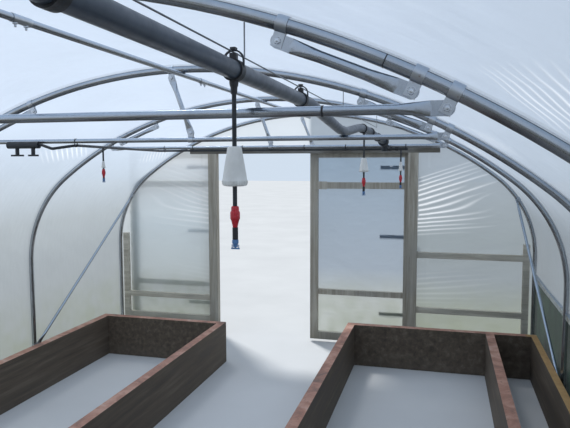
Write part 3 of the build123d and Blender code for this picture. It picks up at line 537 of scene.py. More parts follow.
NODE_LOOKS = {
    "tube": ("hoops", "ridge_tube", "crop_bars", "hoop_braces", "king_posts", "corner_braces"),
    "fitting": ("bar_clips", "brace_clips", "king_clips", "corner_clips", "king_seats"),
    "wire": ("pipe_wire", "wire_ties"),
    "rail": ("right_side_rail",),
    "wood_z": (
        "far_door_posts", "near_door_posts", "left_door_frame", "right_door_frame", "near_door_frames",
    ),
    "wood_x": ("far_wall_rails", "near_wall_rails"),
    "header": ("far_header", "near_header"),
    "beds": ("left_bed", "right_bed"),
    "strap": (
        "left_door_hinges", "right_door_hinges", "near_door_hinges", "far_hinge_pins", "near_hinge_pins",
    ),
    "pipe": ("mist_pipe",),
    "hose": ("pipe_reducer", "branch_hose", "hose_manifold", "pipe_hangers"),
}
for look, names in NODE_LOOKS.items():
    for name in names:
        nodes[name].data.materials.clear()
        nodes[name].data.materials.append(MATERIALS[look])


# Mesh helpers
def add_mesh(name, verts, faces, look, body):
    mesh = bpy.data.meshes.new(name)
    mesh.from_pydata([tuple(v) for v in verts], [], faces)
    mesh.materials.append(MATERIALS[look])
    for polygon in mesh.polygons:
        polygon.use_smooth = True
    mesh.update()
    piece = bpy.data.objects.new(name, mesh)
    bpy.context.scene.collection.objects.link(piece)
    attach(piece, body)
    return piece


class Build:
    """Collects verts and faces of one piece."""

    def __init__(self):
        self.verts = []
        self.faces = []

    def ring_stack(self, rings, closed=True, caps=False):
        """Quads between rings of equal length; each ring is a list of points."""
        base = len(self.verts)
        count = len(rings[0])
        for ring in rings:
            self.verts.extend(ring)
        span = count if closed else count - 1
        for r in range(len(rings) - 1):
            for k in range(span):
                a = base + r * count + k
                b = base + r * count + (k + 1) % count
                self.faces.append((a, b, b + count, a + count))
        if caps:
            last = base + (len(rings) - 1) * count
            self.faces.append(tuple(base + k for k in reversed(range(count))))
            self.faces.append(tuple(last + k for k in range(count)))

    def turned(self, centre, axis, profile, segments=24, wobble=None, ends=True):
        """Surface of revolution: profile is (distance along axis, radius), wobble(angle, ring) scales it."""
        direction = Vector(axis).normalized()
        side = direction.orthogonal().normalized()
        other = direction.cross(side)
        rings = []
        for k, (along, radius) in enumerate(profile):
            ring = []
            for n in range(segments):
                a = 2 * math.pi * n / segments
                r = radius * (wobble(a, k) if wobble else 1)
                out = side * math.cos(a) + other * math.sin(a)
                ring.append(Vector(centre) + direction * along + out * r)
            rings.append(ring)
        self.ring_stack(rings, caps=ends)

    def box(self, low, high, bevel):
        """A block with small chamfers on its upright edges."""
        x0, y0, z0 = low
        x1, y1, z1 = high
        outline = [
            (x0 + bevel, y0), (x1 - bevel, y0), (x1, y0 + bevel), (x1, y1 - bevel),
            (x1 - bevel, y1), (x0 + bevel, y1), (x0, y1 - bevel), (x0, y0 + bevel),
        ]
        self.ring_stack([[Vector((x, y, z)) for x, y in outline] for z in (z0, z1)], caps=True)

    def grid(self, rows, columns, place):
        """One open sheet; place(row, column) gives a point for shares from 0 to 1."""
        points = [[place(r / rows, c / columns) for c in range(columns + 1)] for r in range(rows + 1)]
        self.ring_stack(points, closed=False)

    def piece(self, name, look, slot, body="frame", sharp=None):
        """The collected mesh; edges stay sharp where faces meet at more than this angle in degrees."""
        made = add_mesh(name, self.verts, self.faces, look, body)
        if sharp:
            made.data.set_sharp_from_angle(angle=math.radians(sharp))
        return made


def ease(value, low, high):
    t = min(1.0, max(0.0, (value - low) / (high - low)))
    return t * t * (3 - 2 * t)


# The hoop's line, from the left foot over the crown to the right foot
LEG_LEN = LEG_H
SHOULDER_LEN = SHOULDER_R * (math.pi / 2 - CROWN_ANGLE)
CROWN_LEN = CROWN_R * CROWN_ANGLE
HALF_LEN = LEG_LEN + SHOULDER_LEN + CROWN_LEN


def section(s):
    """Point and outward direction of the hoop line at length s from the left foot."""
    side = -1 if s <= HALF_LEN else 1
    t = s if s <= HALF_LEN else 2 * HALF_LEN - s
    if t <= LEG_LEN:
        return side * LEG_X, t, side * 1.0, 0.0
    if t <= LEG_LEN + SHOULDER_LEN:
        a = (t - LEG_LEN) / SHOULDER_R
        return (
            side * (SHOULDER_X + SHOULDER_R * math.cos(a)), LEG_H + SHOULDER_R * math.sin(a),
            side * math.cos(a), math.sin(a),
        )
    a = CROWN_ANGLE - (t - LEG_LEN - SHOULDER_LEN) / CROWN_R
    return side * CROWN_R * math.sin(a), CROWN_Z + CROWN_R * math.cos(a), side * math.sin(a), math.cos(a)


def hoop_point(angle, inward=0.0):
    """Point in the hoop plane, angle from the ridge in radians, right side positive."""
    side = 1 if angle >= 0 else -1
    a = abs(angle)
    if a <= CROWN_ANGLE:
        r = CROWN_R - inward
        return side * r * math.sin(a), CROWN_Z + r * math.cos(a)
    r = SHOULDER_R - inward
    return side * (SHOULDER_X + r * math.sin(a)), LEG_H + r * math.cos(a)


# Film over the hoops and the net
def folds(u, v, seed, across, along):
    """Long soft folds from noise that is stretched along v."""
    u, v = u / across, v / along
    broad = noise.noise(Vector((u, v, seed)))
    return broad + 0.45 * noise.noise(Vector((2.1 * u + 0.7 * v, 1.6 * v, seed + 9.7)))


def hoop_distance(y):
    return min(abs(y - h) for h in HOOP_Y)


ROOF_SAG = 0.004
WALL_SAG = 0.011
# Depth, slant, seed, width and length of the cover's two sets of folds
COVER_FOLDS = ((0.0034, 0.45, 3.1, 0.16, 1.3), (0.0026, -0.6, 7.7, 0.11, 0.9))


def cover_height(s, y):
    """How far the cover stands out from its seat on the hoops."""
    t = (y - NEAR_Y) / BAY
    mid = math.sin(math.pi * (t - math.floor(t))) ** 2 if NEAR_Y < y < FAR_Y else 0.0
    wall = ease(min(s, 2 * HALF_LEN - s), 0.15, 1.2)
    sag = -(ROOF_SAG + WALL_SAG * wall) * mid
    height = 0.0
    for depth, slant, seed, width, length in COVER_FOLDS:
        height += depth * folds(s + slant * y, y, seed, width, length)
    free = ease(hoop_distance(y), 0.012, 0.16)
    edge = ease(min(s, 2 * HALF_LEN - RAIL_Z - s), 0.0, 0.12)
    return sag + height * free * edge


COVER_SEAT = INNER_R + GAP
COVER_ROWS = 290
COVER_COLUMNS = 310
NET_ROWS = 32
COVER_Y0 = NEAR_Y - INNER_R - FILM_T
COVER_LEN = FAR_Y - NEAR_Y + 2 * (INNER_R + FILM_T)
COVER_GIRTH = 2 * HALF_LEN - RAIL_Z


def make_cover():
    """The one sheet over all hoops, from the left foot to the rail on the right wall."""
    def place(up, along):
        s = COVER_GIRTH * up
        y = COVER_Y0 + COVER_LEN * along
        x, z, nx, nz = section(s)
        out = COVER_SEAT + cover_height(s, y)
        return Vector((x + nx * out, y, z + nz * out))

    build = Build()
    build.grid(COVER_ROWS, COVER_COLUMNS, place)
    cover = build.piece("tunnel_cover", "film", "polythene_film")
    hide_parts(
        "left_wall_cover", "right_wall_cover", "left_shoulder_cover", "right_shoulder_cover",
        "left_roof_cover", "right_roof_cover",
    )


def make_net():
    def place(up, along):
        z = (RAIL_Z - GAP) * up
        y = COVER_Y0 + COVER_LEN * along
        free = ease(hoop_distance(y), 0.012, 0.3) * math.sin(math.pi * up)
        bulge = (0.006 * folds(z, y, 1.4, 0.35, 0.5) - 0.008) * free
        return Vector((LEG_X + COVER_SEAT + bulge, y, z))

    build = Build()
    build.grid(NET_ROWS, COVER_COLUMNS, place)
    net = build.piece("side_net", "net", "shade_net")
    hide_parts("right_side_net")


# End walls: side sheets and the sheet over the doorway
def edge_x(z):
    """Half width of the end film at a height."""
    r = CROWN_R + HOOP_R
    x_crown = math.sqrt(max(0.0, r * r - (z - CROWN_Z) ** 2))
    if x_crown <= r * math.sin(CROWN_ANGLE) and z > LEG_H:
        return x_crown
    if z > LEG_H:
        return SHOULDER_X + math.sqrt(max(0.0, (SHOULDER_R + HOOP_R) ** 2 - (z - LEG_H) ** 2))
    return LEG_X + HOOP_R


# Sharp creases that the film over the end wall shows where it is pulled from the door post
PULL_X = 1.10
PULL_REACH = 0.80
PULL_PITCH = 0.046
PULLS = ((1.455, 0.30, 0.33, 0.0062), (0.62, 0.16, 0.12, 0.0007))


def pull_height(x, z, side):
    """Height of the bundles that start at the post; each has a mid height, half width, slope and depth."""
    out = abs(x) - PULL_X
    height = 0.0
    for mid, half, slope, depth in PULLS:
        level = z - mid
        tilt = slope * (0.62 + 0.38 * math.tanh(3 * level / half))
        across = level - tilt * out
        if abs(across) > half or out < 0:
            continue
        pitch = PULL_PITCH * (1 + 0.10 * math.sin(9 * across + side))
        crest = (0.5 + 0.5 * math.cos(2 * math.pi * across / pitch)) ** 3
        length = PULL_REACH * (0.78 + 0.22 * math.sin(23 * across / half + side))
        fade = max(0.0, 1 - out / length) ** 0.8 * math.cos(across / half * math.pi / 2) ** 0.5
        height += depth * crest * fade
    return height


def pull_glint(x, z, side):
    """Share of the painted highlight on the bundles' crests."""
    return min(1.0, 1.5 * pull_height(x, z, side) / PULLS[0][3])


def end_height(x, z, side):
    """How far the end film stands out from its seat on the timber."""
    height = 0.004 + pull_height(x, z, side)
    height += 0.0022 * folds(z - 0.25 * abs(x), x, 5.3 + side, 0.16, 0.8)
    frame_side = ease(abs(x), POST_EDGE, POST_EDGE + 0.014) if z < LEAF_Z1 else 1.0
    head = ease(z, LEAF_Z1 + 0.01, LEAF_Z1 + 0.08) if abs(x) < 1.2 else 1.0
    rim = ease(edge_x(z) - abs(x), 0.0, 0.06)
    foot = ease(z, 0.0, 0.08)
    return max(0.0, height) * min(frame_side, head) * rim * foot


END_LEVEL = HEADER_Z + HEADER_H / 2
END_SEAT = INNER_R + GAP
END_ROWS = 290
END_COLUMNS = 56
TOP_ROWS = 30
TOP_COLUMNS = 120
END_TOP = CROWN_Z + CROWN_R + HOOP_R
TOP_GAP = 0.0004


def make_end_film(name, end, node):
    y0 = (FAR_Y if end > 0 else NEAR_Y) + end * END_SEAT

    def flank(side, up, across):
        z = END_LEVEL * up
        x = side * (DOOR_HALF + (edge_x(z) - DOOR_HALF) * across ** 1.25)
        return Vector((x, y0 + end * end_height(x, z, side), z))

    def over_door(up, across):
        z = END_LEVEL + (END_TOP - TOP_GAP - END_LEVEL) * up
        x = edge_x(z) * (2 * across - 1)
        return Vector((x, y0 + end * end_height(x, z, 0), z))

    build = Build()
    build.grid(END_ROWS, END_COLUMNS, lambda up, across: flank(-1, up, across))
    build.grid(END_ROWS, END_COLUMNS, lambda up, across: flank(1, up, across))
    build.grid(TOP_ROWS, TOP_COLUMNS, over_door)
    film = build.piece(name, "end_film", "polythene_film")
    # Share of the painted highlight on the crease crests, kept on each vertex.
    white = film.data.attributes.new("crease", "FLOAT", "POINT")
    for vert, share in zip(film.data.vertices, white.data):
        x, _, z = vert.co
        share.value = pull_glint(x, z, math.copysign(1, x)) if z < END_LEVEL else 0.0
    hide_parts(node)


LEAF_W = LEAF_OUT - LEAF_IN
LEAF_RAILS = ((LEAF_Z0, 0.11), (0.51, 0.566), (1.614, 1.68), (1.93, LEAF_Z1))
LEAF_ROWS = 90
LEAF_COLUMNS = 48


def leaf_height(u, z, seed):
    """Creases of a door leaf's film; u is the distance from its free edge."""
    inset = min(u - STILE_W, LEAF_W - STILE_W - u)
    for low, high in LEAF_RAILS:
        inset = min(inset, max(low - z, z - high))
    free = ease(inset, 0.0, 0.10)
    swell = 0.0035 * folds(z + 0.5 * u, u, seed, 0.13, 0.6)
    swell += 0.0030 * folds(u + 0.4 * z, z, seed + 4, 0.12, 0.9)
    return swell * free


def leaf_sheet(name, node, body, x_free, x_hinge, y_face, out, seed):
    """Film on the outer side of one leaf; out is the Y direction away from the frame."""
    def place(up, across):
        u = LEAF_W * across
        x = x_free + (x_hinge - x_free) * across
        z = LEAF_Z0 + (LEAF_Z1 - LEAF_Z0) * up
        return Vector((x, y_face + out * (0.001 + leaf_height(u, z, seed)), z))

    build = Build()
    build.grid(LEAF_ROWS, LEAF_COLUMNS, place)
    film = build.piece(name, "leaf_film", "polythene_film", body)
    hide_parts(node)


# The left leaf is open at rest, folded back flat against the end wall about its hinge line
FAR_AXIS_Y = FAR_Y + HINGE_OUT
OPEN_FREE = -2 * HINGE_X + LEAF_IN
OPEN_HINGE = -2 * HINGE_X + LEAF_OUT
FOLD = 2 * FAR_AXIS_Y - FAR_Y
# Node replaced, body, x of the free and the hinged edge, y of the face, its outward way and a seed
LEAVES = {
    "right_leaf_sheet": ("right_door_film", "right_door", LEAF_IN, LEAF_OUT, FAR_Y + LEAF_FILM, 1, 2.2),
    "left_leaf_sheet": ("left_door_film", "left_door", OPEN_FREE, OPEN_HINGE, FOLD - LEAF_FILM, -1, 5.9),
    "near_right_sheet": ("near_door_films", "frame", LEAF_IN, LEAF_OUT, NEAR_Y - LEAF_FILM, -1, 8.4),
    "near_left_sheet": ("near_door_films", "frame", -LEAF_IN, -LEAF_OUT, NEAR_Y - LEAF_FILM, -1, 11.3),
}

make_cover()
make_net()
make_end_film("far_end_sheet", 1, "far_end_film")
make_end_film("near_end_sheet", -1, "near_end_film")
for leaf_name, leaf in LEAVES.items():
    leaf_sheet(leaf_name, *leaf)


# Drop hoses, each a straight hanging cord with a weight, a valve and a nozzle
NEAR_DROP_Y = H1_Y - 0.08
MIDDLE_DROP_X, MIDDLE_DROP_Y = PIPE_X + 0.022, H2_Y + 0.64
DROP_BORE = DROP_R + GAP
# x, y, top, top of the weight, its length and radius, top of the valve, length of the stub below it
DROPS = {
    "near_drop": (PIPE_X, NEAR_DROP_Y, PIPE_Z - PIPE_R - 0.0045, 1.914, 0.096, 0.031, 1.770, 0.030),
    "middle_drop": (MIDDLE_DROP_X, MIDDLE_DROP_Y, RISE_Z - PIPE_R, 1.905, 0.085, 0.027, 1.785, 0.030),
    "right_drop": (1.03, HOSE_Y, HOSE_Z - HOSE_R, 1.882, 0.067, 0.015, 1.785, 0.022),
    "left_drop": (-0.735, H2_Y + 0.384, HOSE_Z - HOSE_R, 1.890, 0.044, 0.013, 1.840, 0.008),
}
# Shares of the weight's length and radius, from its foot to its top
WEIGHT_SHAPE = (
    (0.0, 0.65), (0.02, 0.89), (0.06, 0.96), (0.135, 0.99), (0.15, 0.955), (0.31, 0.88),
    (0.57, 0.75), (0.83, 0.61), (0.96, 0.55), (0.99, 0.48), (1.0, 0.37),
)
SCALLOPED_RINGS = (2, 3, 4)
VALVE_SHAPE = [
    (0.0, DROP_BORE), (0.0, 0.0058), (0.003, 0.0064), (0.018, 0.0100), (0.020, 0.0112), (0.022, 0.0115),
    (0.036, 0.0115), (0.0385, 0.0108), (0.040, 0.0098), (0.049, 0.0094), (0.0515, 0.0082),
    (VALVE_H, DROP_BORE), (0.0, DROP_BORE),
]
RIBBED_RINGS = (4, 5, 6, 7)
STUB_R = DROP_BORE + 0.0012
NOZZLE_BODY = [
    (0.0, 0.0005), (0.0, 0.0072), (0.002, 0.0080), (0.009, 0.0080), (0.0105, 0.0064), (0.018, 0.0060),
    (0.018, 0.0005),
]
NOZZLE_ARM = [(0.0, 0.0011), (0.009, 0.0011), (0.0115, 0.0006)]
NOZZLE_TIP = [(0.0, 0.0024), (0.0025, 0.0018)]
NOZZLE_HALF_W = 0.0085
DOWN = (0, 0, -1)
UP = (0, 0, 1)


def make_cord(name, points):
    curve = bpy.data.curves.new(name, "CURVE")
    curve.dimensions = "3D"
    spline = curve.splines.new("NURBS")
    spline.points.add(len(points) - 1)
    for point, place in zip(spline.points, points):
        point.co = (*place, 1)
    spline.order_u = 3
    spline.use_endpoint_u = True
    spline.resolution_u = 12
    curve.bevel_depth = DROP_R
    curve.bevel_resolution = 5
    curve.use_fill_caps = True
    curve.materials.append(MATERIALS["hose"])
    cord = bpy.data.objects.new(name, curve)
    bpy.context.scene.collection.objects.link(cord)
    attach(cord, "frame")
    return cord


def make_weight(name, x, y, foot, length, radius):
    shape = [(length * t, max(DROP_BORE, radius * r)) for t, r in WEIGHT_SHAPE]
    profile = [(0.0, DROP_BORE), *shape, (length, DROP_BORE), (0.0, DROP_BORE)]

    def squared(a, ring):
        if profile[ring][1] <= DROP_BORE:
            return 1.0
        square = 1 - 0.045 * math.cos(4 * a)
        return square * (1 + (0.018 * math.cos(28 * a) if ring in SCALLOPED_RINGS else 0))

    build = Build()
    build.turned((x, y, foot), UP, profile, 112, squared, ends=False)
    return build.piece(name, "weight", "weight_plastic", sharp=35)


def make_valve(name, x, y, foot):
    def ribbed(a, ring):
        return 1 + (0.035 * math.cos(14 * a) if ring in RIBBED_RINGS else 0)

    build = Build()
    build.turned((x, y, foot), UP, VALVE_SHAPE, 84, ribbed, ends=False)
    return build.piece(name, "valve", "valve_plastic", sharp=30)


def make_stub(name, x, y, foot, length):
    """Thin sleeve over the hose between the valve and the nozzle."""
    build = Build()
    stub = [(0.0, DROP_BORE), (0.0, STUB_R), (length, STUB_R), (length, DROP_BORE), (0.0, DROP_BORE)]
    build.turned((x, y, foot), UP, stub, 28, ends=False)
    return build.piece(name, "black", "hose_rubber", sharp=35)


def make_nozzle(name, x, y, top):
    """A nozzle whose two arms hold a small bar below its jet."""
    build = Build()
    build.turned((x, y, top), DOWN, NOZZLE_BODY, 32)
    for side in (-1, 1):
        build.turned((x + side * NOZZLE_HALF_W, y, top - 0.012), DOWN, NOZZLE_ARM, 10)
    bar = NOZZLE_HALF_W + 0.002
    build.box((x - bar, y - 0.0025, top - 0.0235), (x + bar, y + 0.0025, top - 0.0200), 0.0008)
    build.turned((x, y, top - 0.018), DOWN, NOZZLE_TIP, 12)
    return build.piece(name, "nozzle", "nozzle_plastic", sharp=35)


def make_drop(name, x, y, top, weight_top, weight_len, weight_r, valve_top, tail):
    valve_foot = valve_top - VALVE_H
    foot = valve_foot - tail
    points = [(x, y, top - 0.00005), (x, y, (top + foot) / 2), (x, y, foot)]
    cord = make_cord(name + "_cord", points)
    weight = make_weight(name + "_weight", x, y, weight_top - weight_len, weight_len, weight_r)
    valve = make_valve(name + "_valve", x, y, valve_foot)
    sleeve = make_stub(name + "_stub", x, y, foot + GAP, tail - 2 * GAP)
    nozzle = make_nozzle(name + "_nozzle", x, y, foot - GAP)
    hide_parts(name + "_hose")
    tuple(points[0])
    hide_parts("drop_weights")
    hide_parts("drop_valves")
    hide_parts("mist_nozzles")


for drop_name, drop in DROPS.items():
    make_drop(drop_name, *drop)


# Bolts, nuts and washers on the strap clips
BRACE_TOP_X, BRACE_LOW_X = 0.937, 1.262
KING_TOP_X = -0.075
KING_FOOT = (0.032, BAR_Z + 0.036)
BOLT_ARC = CROWN_R - CLIP_REACH
BAR_BOLT_X = math.sqrt(BOLT_ARC ** 2 - (BAR_Z - CROWN_Z) ** 2)
CLIP_ANGLES = [math.asin(bolt_x / BOLT_ARC) for bolt_x in (BRACE_TOP_X, BRACE_LOW_X, BAR_BOLT_X)]
KING_ANGLE = math.asin(KING_TOP_X / CROWN_R)
BOLT_SIDE = FLAT_T / 2 + GAP + CLIP_T
WASHER_T = 0.0012
WASHER = [(0.0, 0.0055), (0.0, 0.0108), (WASHER_T, 0.0108), (WASHER_T, 0.0055)]
BOLT_DOME = [(0.0, 0.0092), (0.0010, 0.0092), (0.0032, 0.0078), (0.0050, 0.0048), (0.0056, 0.0006)]
NUT_T = 0.006
NUT = [(0.0, 0.0085), (0.0006, 0.0095), (NUT_T - 0.0008, 0.0095), (NUT_T, 0.0085)]
BOLT_END = [(0.0, 0.0049), (0.002, 0.0049), (0.003, 0.0040)]


def fixing(build, bolt, direction):
    """A domed bolt and its nut, with washers; direction points from the bolt head to the nut."""
    d = Vector(direction).normalized()
    head = Vector(bolt) - d * BOLT_SIDE
    tail = Vector(bolt) + d * BOLT_SIDE
    build.turned(head, -d, WASHER, 24)
    build.turned(head - d * WASHER_T, -d, BOLT_DOME, 24)
    build.turned(tail, d, WASHER, 24)
    build.turned(tail + d * WASHER_T, d, NUT, 6)
    build.turned(tail + d * (WASHER_T + NUT_T), d, BOLT_END, 16)


def make_fixings():
    build = Build()
    for y in INNER_HOOPS:
        for side in (-1, 1):
            for angle in CLIP_ANGLES:
                x, z = hoop_point(side * angle, CLIP_REACH)
                fixing(build, (x, y, z), (0, 1, 0))
        fixing(build, (KING_FOOT[0], y, KING_FOOT[1]), (0, -1, 0))
    for y in HOOP_Y:
        x, z = hoop_point(KING_ANGLE, CLIP_REACH)
        fixing(build, (x, y, z), (0, 1, 0))
    build.piece("clip_fixings", "bolt", "galvanised_fitting", sharp=30)


make_fixings()


# Thin joint rings on the hoops, and sleeves with their studs on the ridge tube
RING_IN, RING_OUT = HOOP_R - 0.0004, HOOP_R + 0.0007
JOINT_RING = [(-0.0016, RING_IN), (-0.0012, RING_OUT), (0.0012, RING_OUT), (0.0016, RING_IN)]
SLEEVE_R = BAR_R + GAP
SLEEVE_OUT = SLEEVE_R + 0.0018
SLEEVE_HALF = 0.045
SLEEVE = [
    (-SLEEVE_HALF, SLEEVE_R), (-SLEEVE_HALF, SLEEVE_OUT), (SLEEVE_HALF, SLEEVE_OUT), (SLEEVE_HALF, SLEEVE_R),
]
SLEEVE_SHIFT = 0.25
STUD_SHIFT = 0.026
STUD_NUT = [(0.0, 0.0085), (0.005, 0.0085), (0.006, 0.0070)]
STUD = [(0.006, 0.0040), (0.014, 0.0040), (0.015, 0.0032)]


def make_joints():
    build = Build()
    for y in HOOP_Y:
        for side in (-1, 1):
            x, z = hoop_point(side * JOINT_ANGLE)
            along = (math.cos(JOINT_ANGLE), 0, -side * math.sin(JOINT_ANGLE))
            build.turned((x, y, z), along, JOINT_RING, 32, None, False)
    build.piece("hoop_joint_rings", "black", "hose_rubber", sharp=40)
    build = Build()
    for hoop in (H1_Y, H2_Y, HOOP_Y[1]):
        middle = hoop + SLEEVE_SHIFT
        build.turned((0, middle, RIDGE_Z), (0, 1, 0), SLEEVE, 28, None, False)
        for shift in (-STUD_SHIFT, STUD_SHIFT):
            low = (0, middle + shift, RIDGE_Z - BAR_R)
            build.turned(low, DOWN, STUD_NUT, 6)
            build.turned(low, DOWN, STUD, 14)
    build.piece("ridge_sleeves", "fitting", "galvanised_fitting", sharp=35)


make_joints()


TAPE_R = HOOP_R + 0.0012
TAPE_END = 0.05
TAPE_LEN = COVER_GIRTH - 2 * TAPE_END
TAPE_STEPS = 150
TAPE_FACES = 4
TAPE_HALF_ANGLE = math.radians(48)


def tape_point(hoop_y, along, across):
    x, z, nx, nz = section(TAPE_END + TAPE_LEN * along)
    angle = TAPE_HALF_ANGLE * (2 * across - 1)
    out = TAPE_R * math.cos(angle)
    return Vector((x + nx * out, hoop_y + TAPE_R * math.sin(angle), z + nz * out))


def make_hoop_tape():
    """Pale foam tape along the outer side of each hoop, under the film."""
    build = Build()
    for y in HOOP_Y:
        build.grid(TAPE_STEPS, TAPE_FACES, lambda along, across: tape_point(y, along, across))
    build.piece("hoop_tape", "tape", "polythene_film")


make_hoop_tape()


# Bands, ties and saddles on the mist line
def band(build, centre, axis, radius, width, thick):
    half = width / 2
    outer = radius + thick
    outline = [(-half, radius), (-half, outer), (half, outer), (half, radius), (-half, radius)]
    build.turned(centre, axis, outline, 32, None, False)


TIE_HALF_W = 0.003
TIE_STEPS = 28


def tie(build, x, y):
    """A flat tie round a crop bar and the hose below it."""
    centre_z = (BAR_Z + HOSE_Z) / 2
    reach_z = (BAR_Z - HOSE_Z) / 2 + 0.0008
    loops = []
    for half_width in (-TIE_HALF_W, TIE_HALF_W):
        loop = []
        for n in range(TIE_STEPS):
            a = 2 * math.pi * n / TIE_STEPS
            upper = math.sin(a) > 0
            r = (BAR_R if upper else HOSE_R) + 0.0014
            z = centre_z + (reach_z if upper else -reach_z) + r * math.sin(a)
            loop.append(Vector((x + half_width, y + r * math.cos(a), z)))
        loops.append(loop)
    build.ring_stack(loops)


def torus(build, centre, radius, thick, steps=24, sides=8):
    """A ring that stands across the tunnel."""
    rings = []
    for n in range(steps + 1):
        a = 2 * math.pi * n / steps
        out = Vector((math.cos(a), 0, math.sin(a)))
        turns = (2 * math.pi * m / sides for m in range(sides))
        rings.append([
            centre + out * (radius + thick * math.cos(b)) + Vector((0, thick * math.sin(b), 0)) for b in turns
        ])
    build.ring_stack(rings)


HOSE_LINE = (1, 0, 0)
PIPE_LINE = (0, 1, 0)
BAND_GAP = 0.0002
SADDLE_T = 0.0042
SADDLE_W = 0.026
CLAMP_T = 0.0055
CLAMP_W = 0.014
RISE_PLACE = Vector((PIPE_X + 0.026, H2_Y + 0.76, RISE_Z))
END_PLACE = Vector((PIPE_X + 0.062, H3_Y - 0.15, 2.032))
END_RUN = END_PLACE - RISE_PLACE
KNEE = END_PLACE + END_RUN.normalized() * 0.0903
ELBOW_R = 0.024
ELBOW_FOOT = HOSE_Z - 2 * HOSE_R
H1_TIE_X = 1.05
H2_TIE_X = -0.668
H3_TIE_XS = (-0.87, -0.62, -0.20, 0.30, 0.62, 1.065)
NEAR_SPOUT = [(0.0, 0.0115), (0.012, 0.0100), (0.013, 0.0086), (0.030, 0.0076), (0.030, DROP_R + BAND_GAP)]
MIDDLE_SPOUT = [(0.0, 0.0100), (0.008, 0.0092), (0.022, 0.0076), (0.022, DROP_R + BAND_GAP)]
END_CAP = [(0.0, 0.0095), (0.012, 0.0095), (0.013, 0.0120), (0.021, 0.0120), (0.022, 0.0105)]


def saddle(build, y):
    """A saddle round the pipe, with its neck below the wire and its knob above it."""
    band(build, (PIPE_X, y, PIPE_Z), PIPE_LINE, PIPE_R + BAND_GAP, SADDLE_W, SADDLE_T)
    neck = (PIPE_Z + PIPE_R - 0.002, WIRE_Z - 0.0025)
    knob = (WIRE_Z + 0.0045, WIRE_Z + 0.0110)
    for half, (low, high), bevel in ((0.009, neck, 0.003), (0.007, knob, 0.002)):
        build.box((PIPE_X - half, y - 0.009, low), (PIPE_X + half, y + 0.009, high), bevel)


def make_pipe_bits():
    """Saddles, clamps and ties of the mist line, with the ring and the cap of its end fitting."""
    build = Build()
    for n in range(-3, 2):
        saddle(build, NEAR_DROP_Y + HANGER_PITCH * n)
    build.turned((PIPE_X, NEAR_DROP_Y, PIPE_Z - PIPE_R - 0.0038), DOWN, NEAR_SPOUT, 24, None, False)
    band(build, (H1_TIE_X, H1_Y, BAR_Z), HOSE_LINE, BAR_R + BAND_GAP, 0.005, 0.0012)
    middle_top = (MIDDLE_DROP_X, MIDDLE_DROP_Y, RISE_Z - PIPE_R + 0.002)
    build.turned(middle_top, DOWN, MIDDLE_SPOUT, 24, None, False)
    band(build, (PIPE_X + 0.0205, H2_Y + 0.58, RISE_Z), (0.03, 1, 0), PIPE_R + BAND_GAP, CLAMP_W, CLAMP_T)
    for share in (0.17, 0.63):
        band(build, RISE_PLACE.lerp(END_PLACE, share), END_RUN, PIPE_R + 0.0006, CLAMP_W, CLAMP_T)
    band(build, (1.0, HOSE_Y, HOSE_Z), HOSE_LINE, HOSE_R + GAP, 0.024, CLAMP_T)
    band(build, (0.958, HOSE_Y, HOSE_Z), HOSE_LINE, HOSE_R + GAP, 0.012, 0.0040)
    torus(build, KNEE + Vector((0, 0, ELBOW_R + 0.010)), 0.0095, 0.0026)
    build.turned((KNEE.x + ELBOW_R - 0.002, KNEE.y, ELBOW_FOOT + 0.012), HOSE_LINE, END_CAP)
    for x in H3_TIE_XS:
        tie(build, x, H3_Y)
    tie(build, H2_TIE_X, H2_Y)
    build.piece("pipe_bands", "black", "hose_rubber", sharp=35)


make_pipe_bits()


# Coach bolts on the strap hinges; toward is the way from the hinge pin along the strap
COACH_DOME = [(0.0, 0.0075), (0.001, 0.0073), (0.0028, 0.0055), (0.0036, 0.0025), (0.0038, 0.0003)]
COACH_REACHES = (0.075, 0.165, 0.250, 0.318)
STRAP_OUT = LEAF_FILM + FILM_T + STRAP_FACE


def make_hinge_bolts(name, body, y, out, straps):
    build = Build()
    for hinge_x, toward in straps:
        for z in HINGE_ZS:
            for reach in COACH_REACHES:
                build.turned((hinge_x + toward * reach, y, z), (0, out, 0), COACH_DOME, 16)
    build.piece(name, "strap", "hinge_steel", body)


make_hinge_bolts("right_hinge_bolts", "right_door", FAR_Y + STRAP_OUT, 1, ((HINGE_X, -1),))
make_hinge_bolts("left_hinge_bolts", "left_door", FOLD - STRAP_OUT, -1, ((-HINGE_X, -1),))
make_hinge_bolts("near_hinge_bolts", "frame", NEAR_Y - STRAP_OUT, -1, ((HINGE_X, -1), (-HINGE_X, 1)))


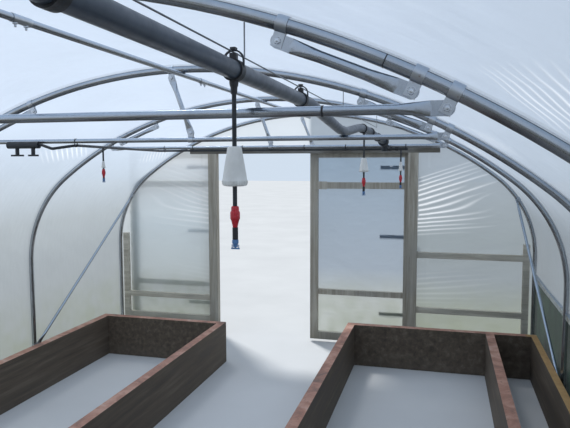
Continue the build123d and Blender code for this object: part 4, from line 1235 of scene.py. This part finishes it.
# Floor, world and lamp
FLOOR_HALF = 60.0
FLOOR_Z = -0.002
SKY_LIGHT = (0.79, 0.885, 1.0)
SKY_STRENGTH = 0.62
SKY_SEEN = (0.64, 0.74, 0.86)
SUN_FROM = (-0.38, 0.42, 0.82)
SUN_STRENGTH = 2.6
SUN_SPREAD = math.radians(9)
SUN_COLOUR = (1.0, 0.985, 0.95)


def make_floor():
    s = Shader("pale_floor").set(Roughness=0.9)
    s.colour(s.ramp(s.noise(0.8, 3), (0.3, (0.60, 0.61, 0.62)), (0.7, (0.66, 0.67, 0.68))))
    mesh = bpy.data.meshes.new("floor")
    h = FLOOR_HALF
    mesh.from_pydata([(-h, -h, 0), (h, -h, 0), (h, h, 0), (-h, h, 0)], [], [(0, 1, 2, 3)])
    mesh.materials.append(s.material)
    floor = bpy.data.objects.new("floor", mesh)
    bpy.context.scene.collection.objects.link(floor)
    floor.location.z = FLOOR_Z


def make_light():
    world = bpy.data.worlds.new("studio")
    bpy.context.scene.world = world
    world.use_nodes = True
    tree = world.node_tree
    tree.nodes.clear()
    output = tree.nodes.new("ShaderNodeOutputWorld")
    lit = tree.nodes.new("ShaderNodeBackground")
    lit.inputs[0].default_value = (*SKY_LIGHT, 1)
    lit.inputs[1].default_value = SKY_STRENGTH
    seen = tree.nodes.new("ShaderNodeBackground")
    seen.inputs[0].default_value = (*SKY_SEEN, 1)
    seen.inputs[1].default_value = 1.0
    rays = tree.nodes.new("ShaderNodeLightPath")
    mix = tree.nodes.new("ShaderNodeMixShader")
    tree.links.new(rays.outputs["Is Camera Ray"], mix.inputs[0])
    tree.links.new(lit.outputs[0], mix.inputs[1])
    tree.links.new(seen.outputs[0], mix.inputs[2])
    tree.links.new(mix.outputs[0], output.inputs["Surface"])
    lamp = bpy.data.lights.new("soft_sun", "SUN")
    lamp.energy = SUN_STRENGTH
    lamp.angle = SUN_SPREAD
    lamp.color = SUN_COLOUR
    sun = bpy.data.objects.new("soft_sun", lamp)
    bpy.context.scene.collection.objects.link(sun)
    sun.rotation_euler = Vector(SUN_FROM).to_track_quat("Z", "Y").to_euler()


make_floor()
make_light()
bpy.context.scene.view_settings.view_transform = "Standard"
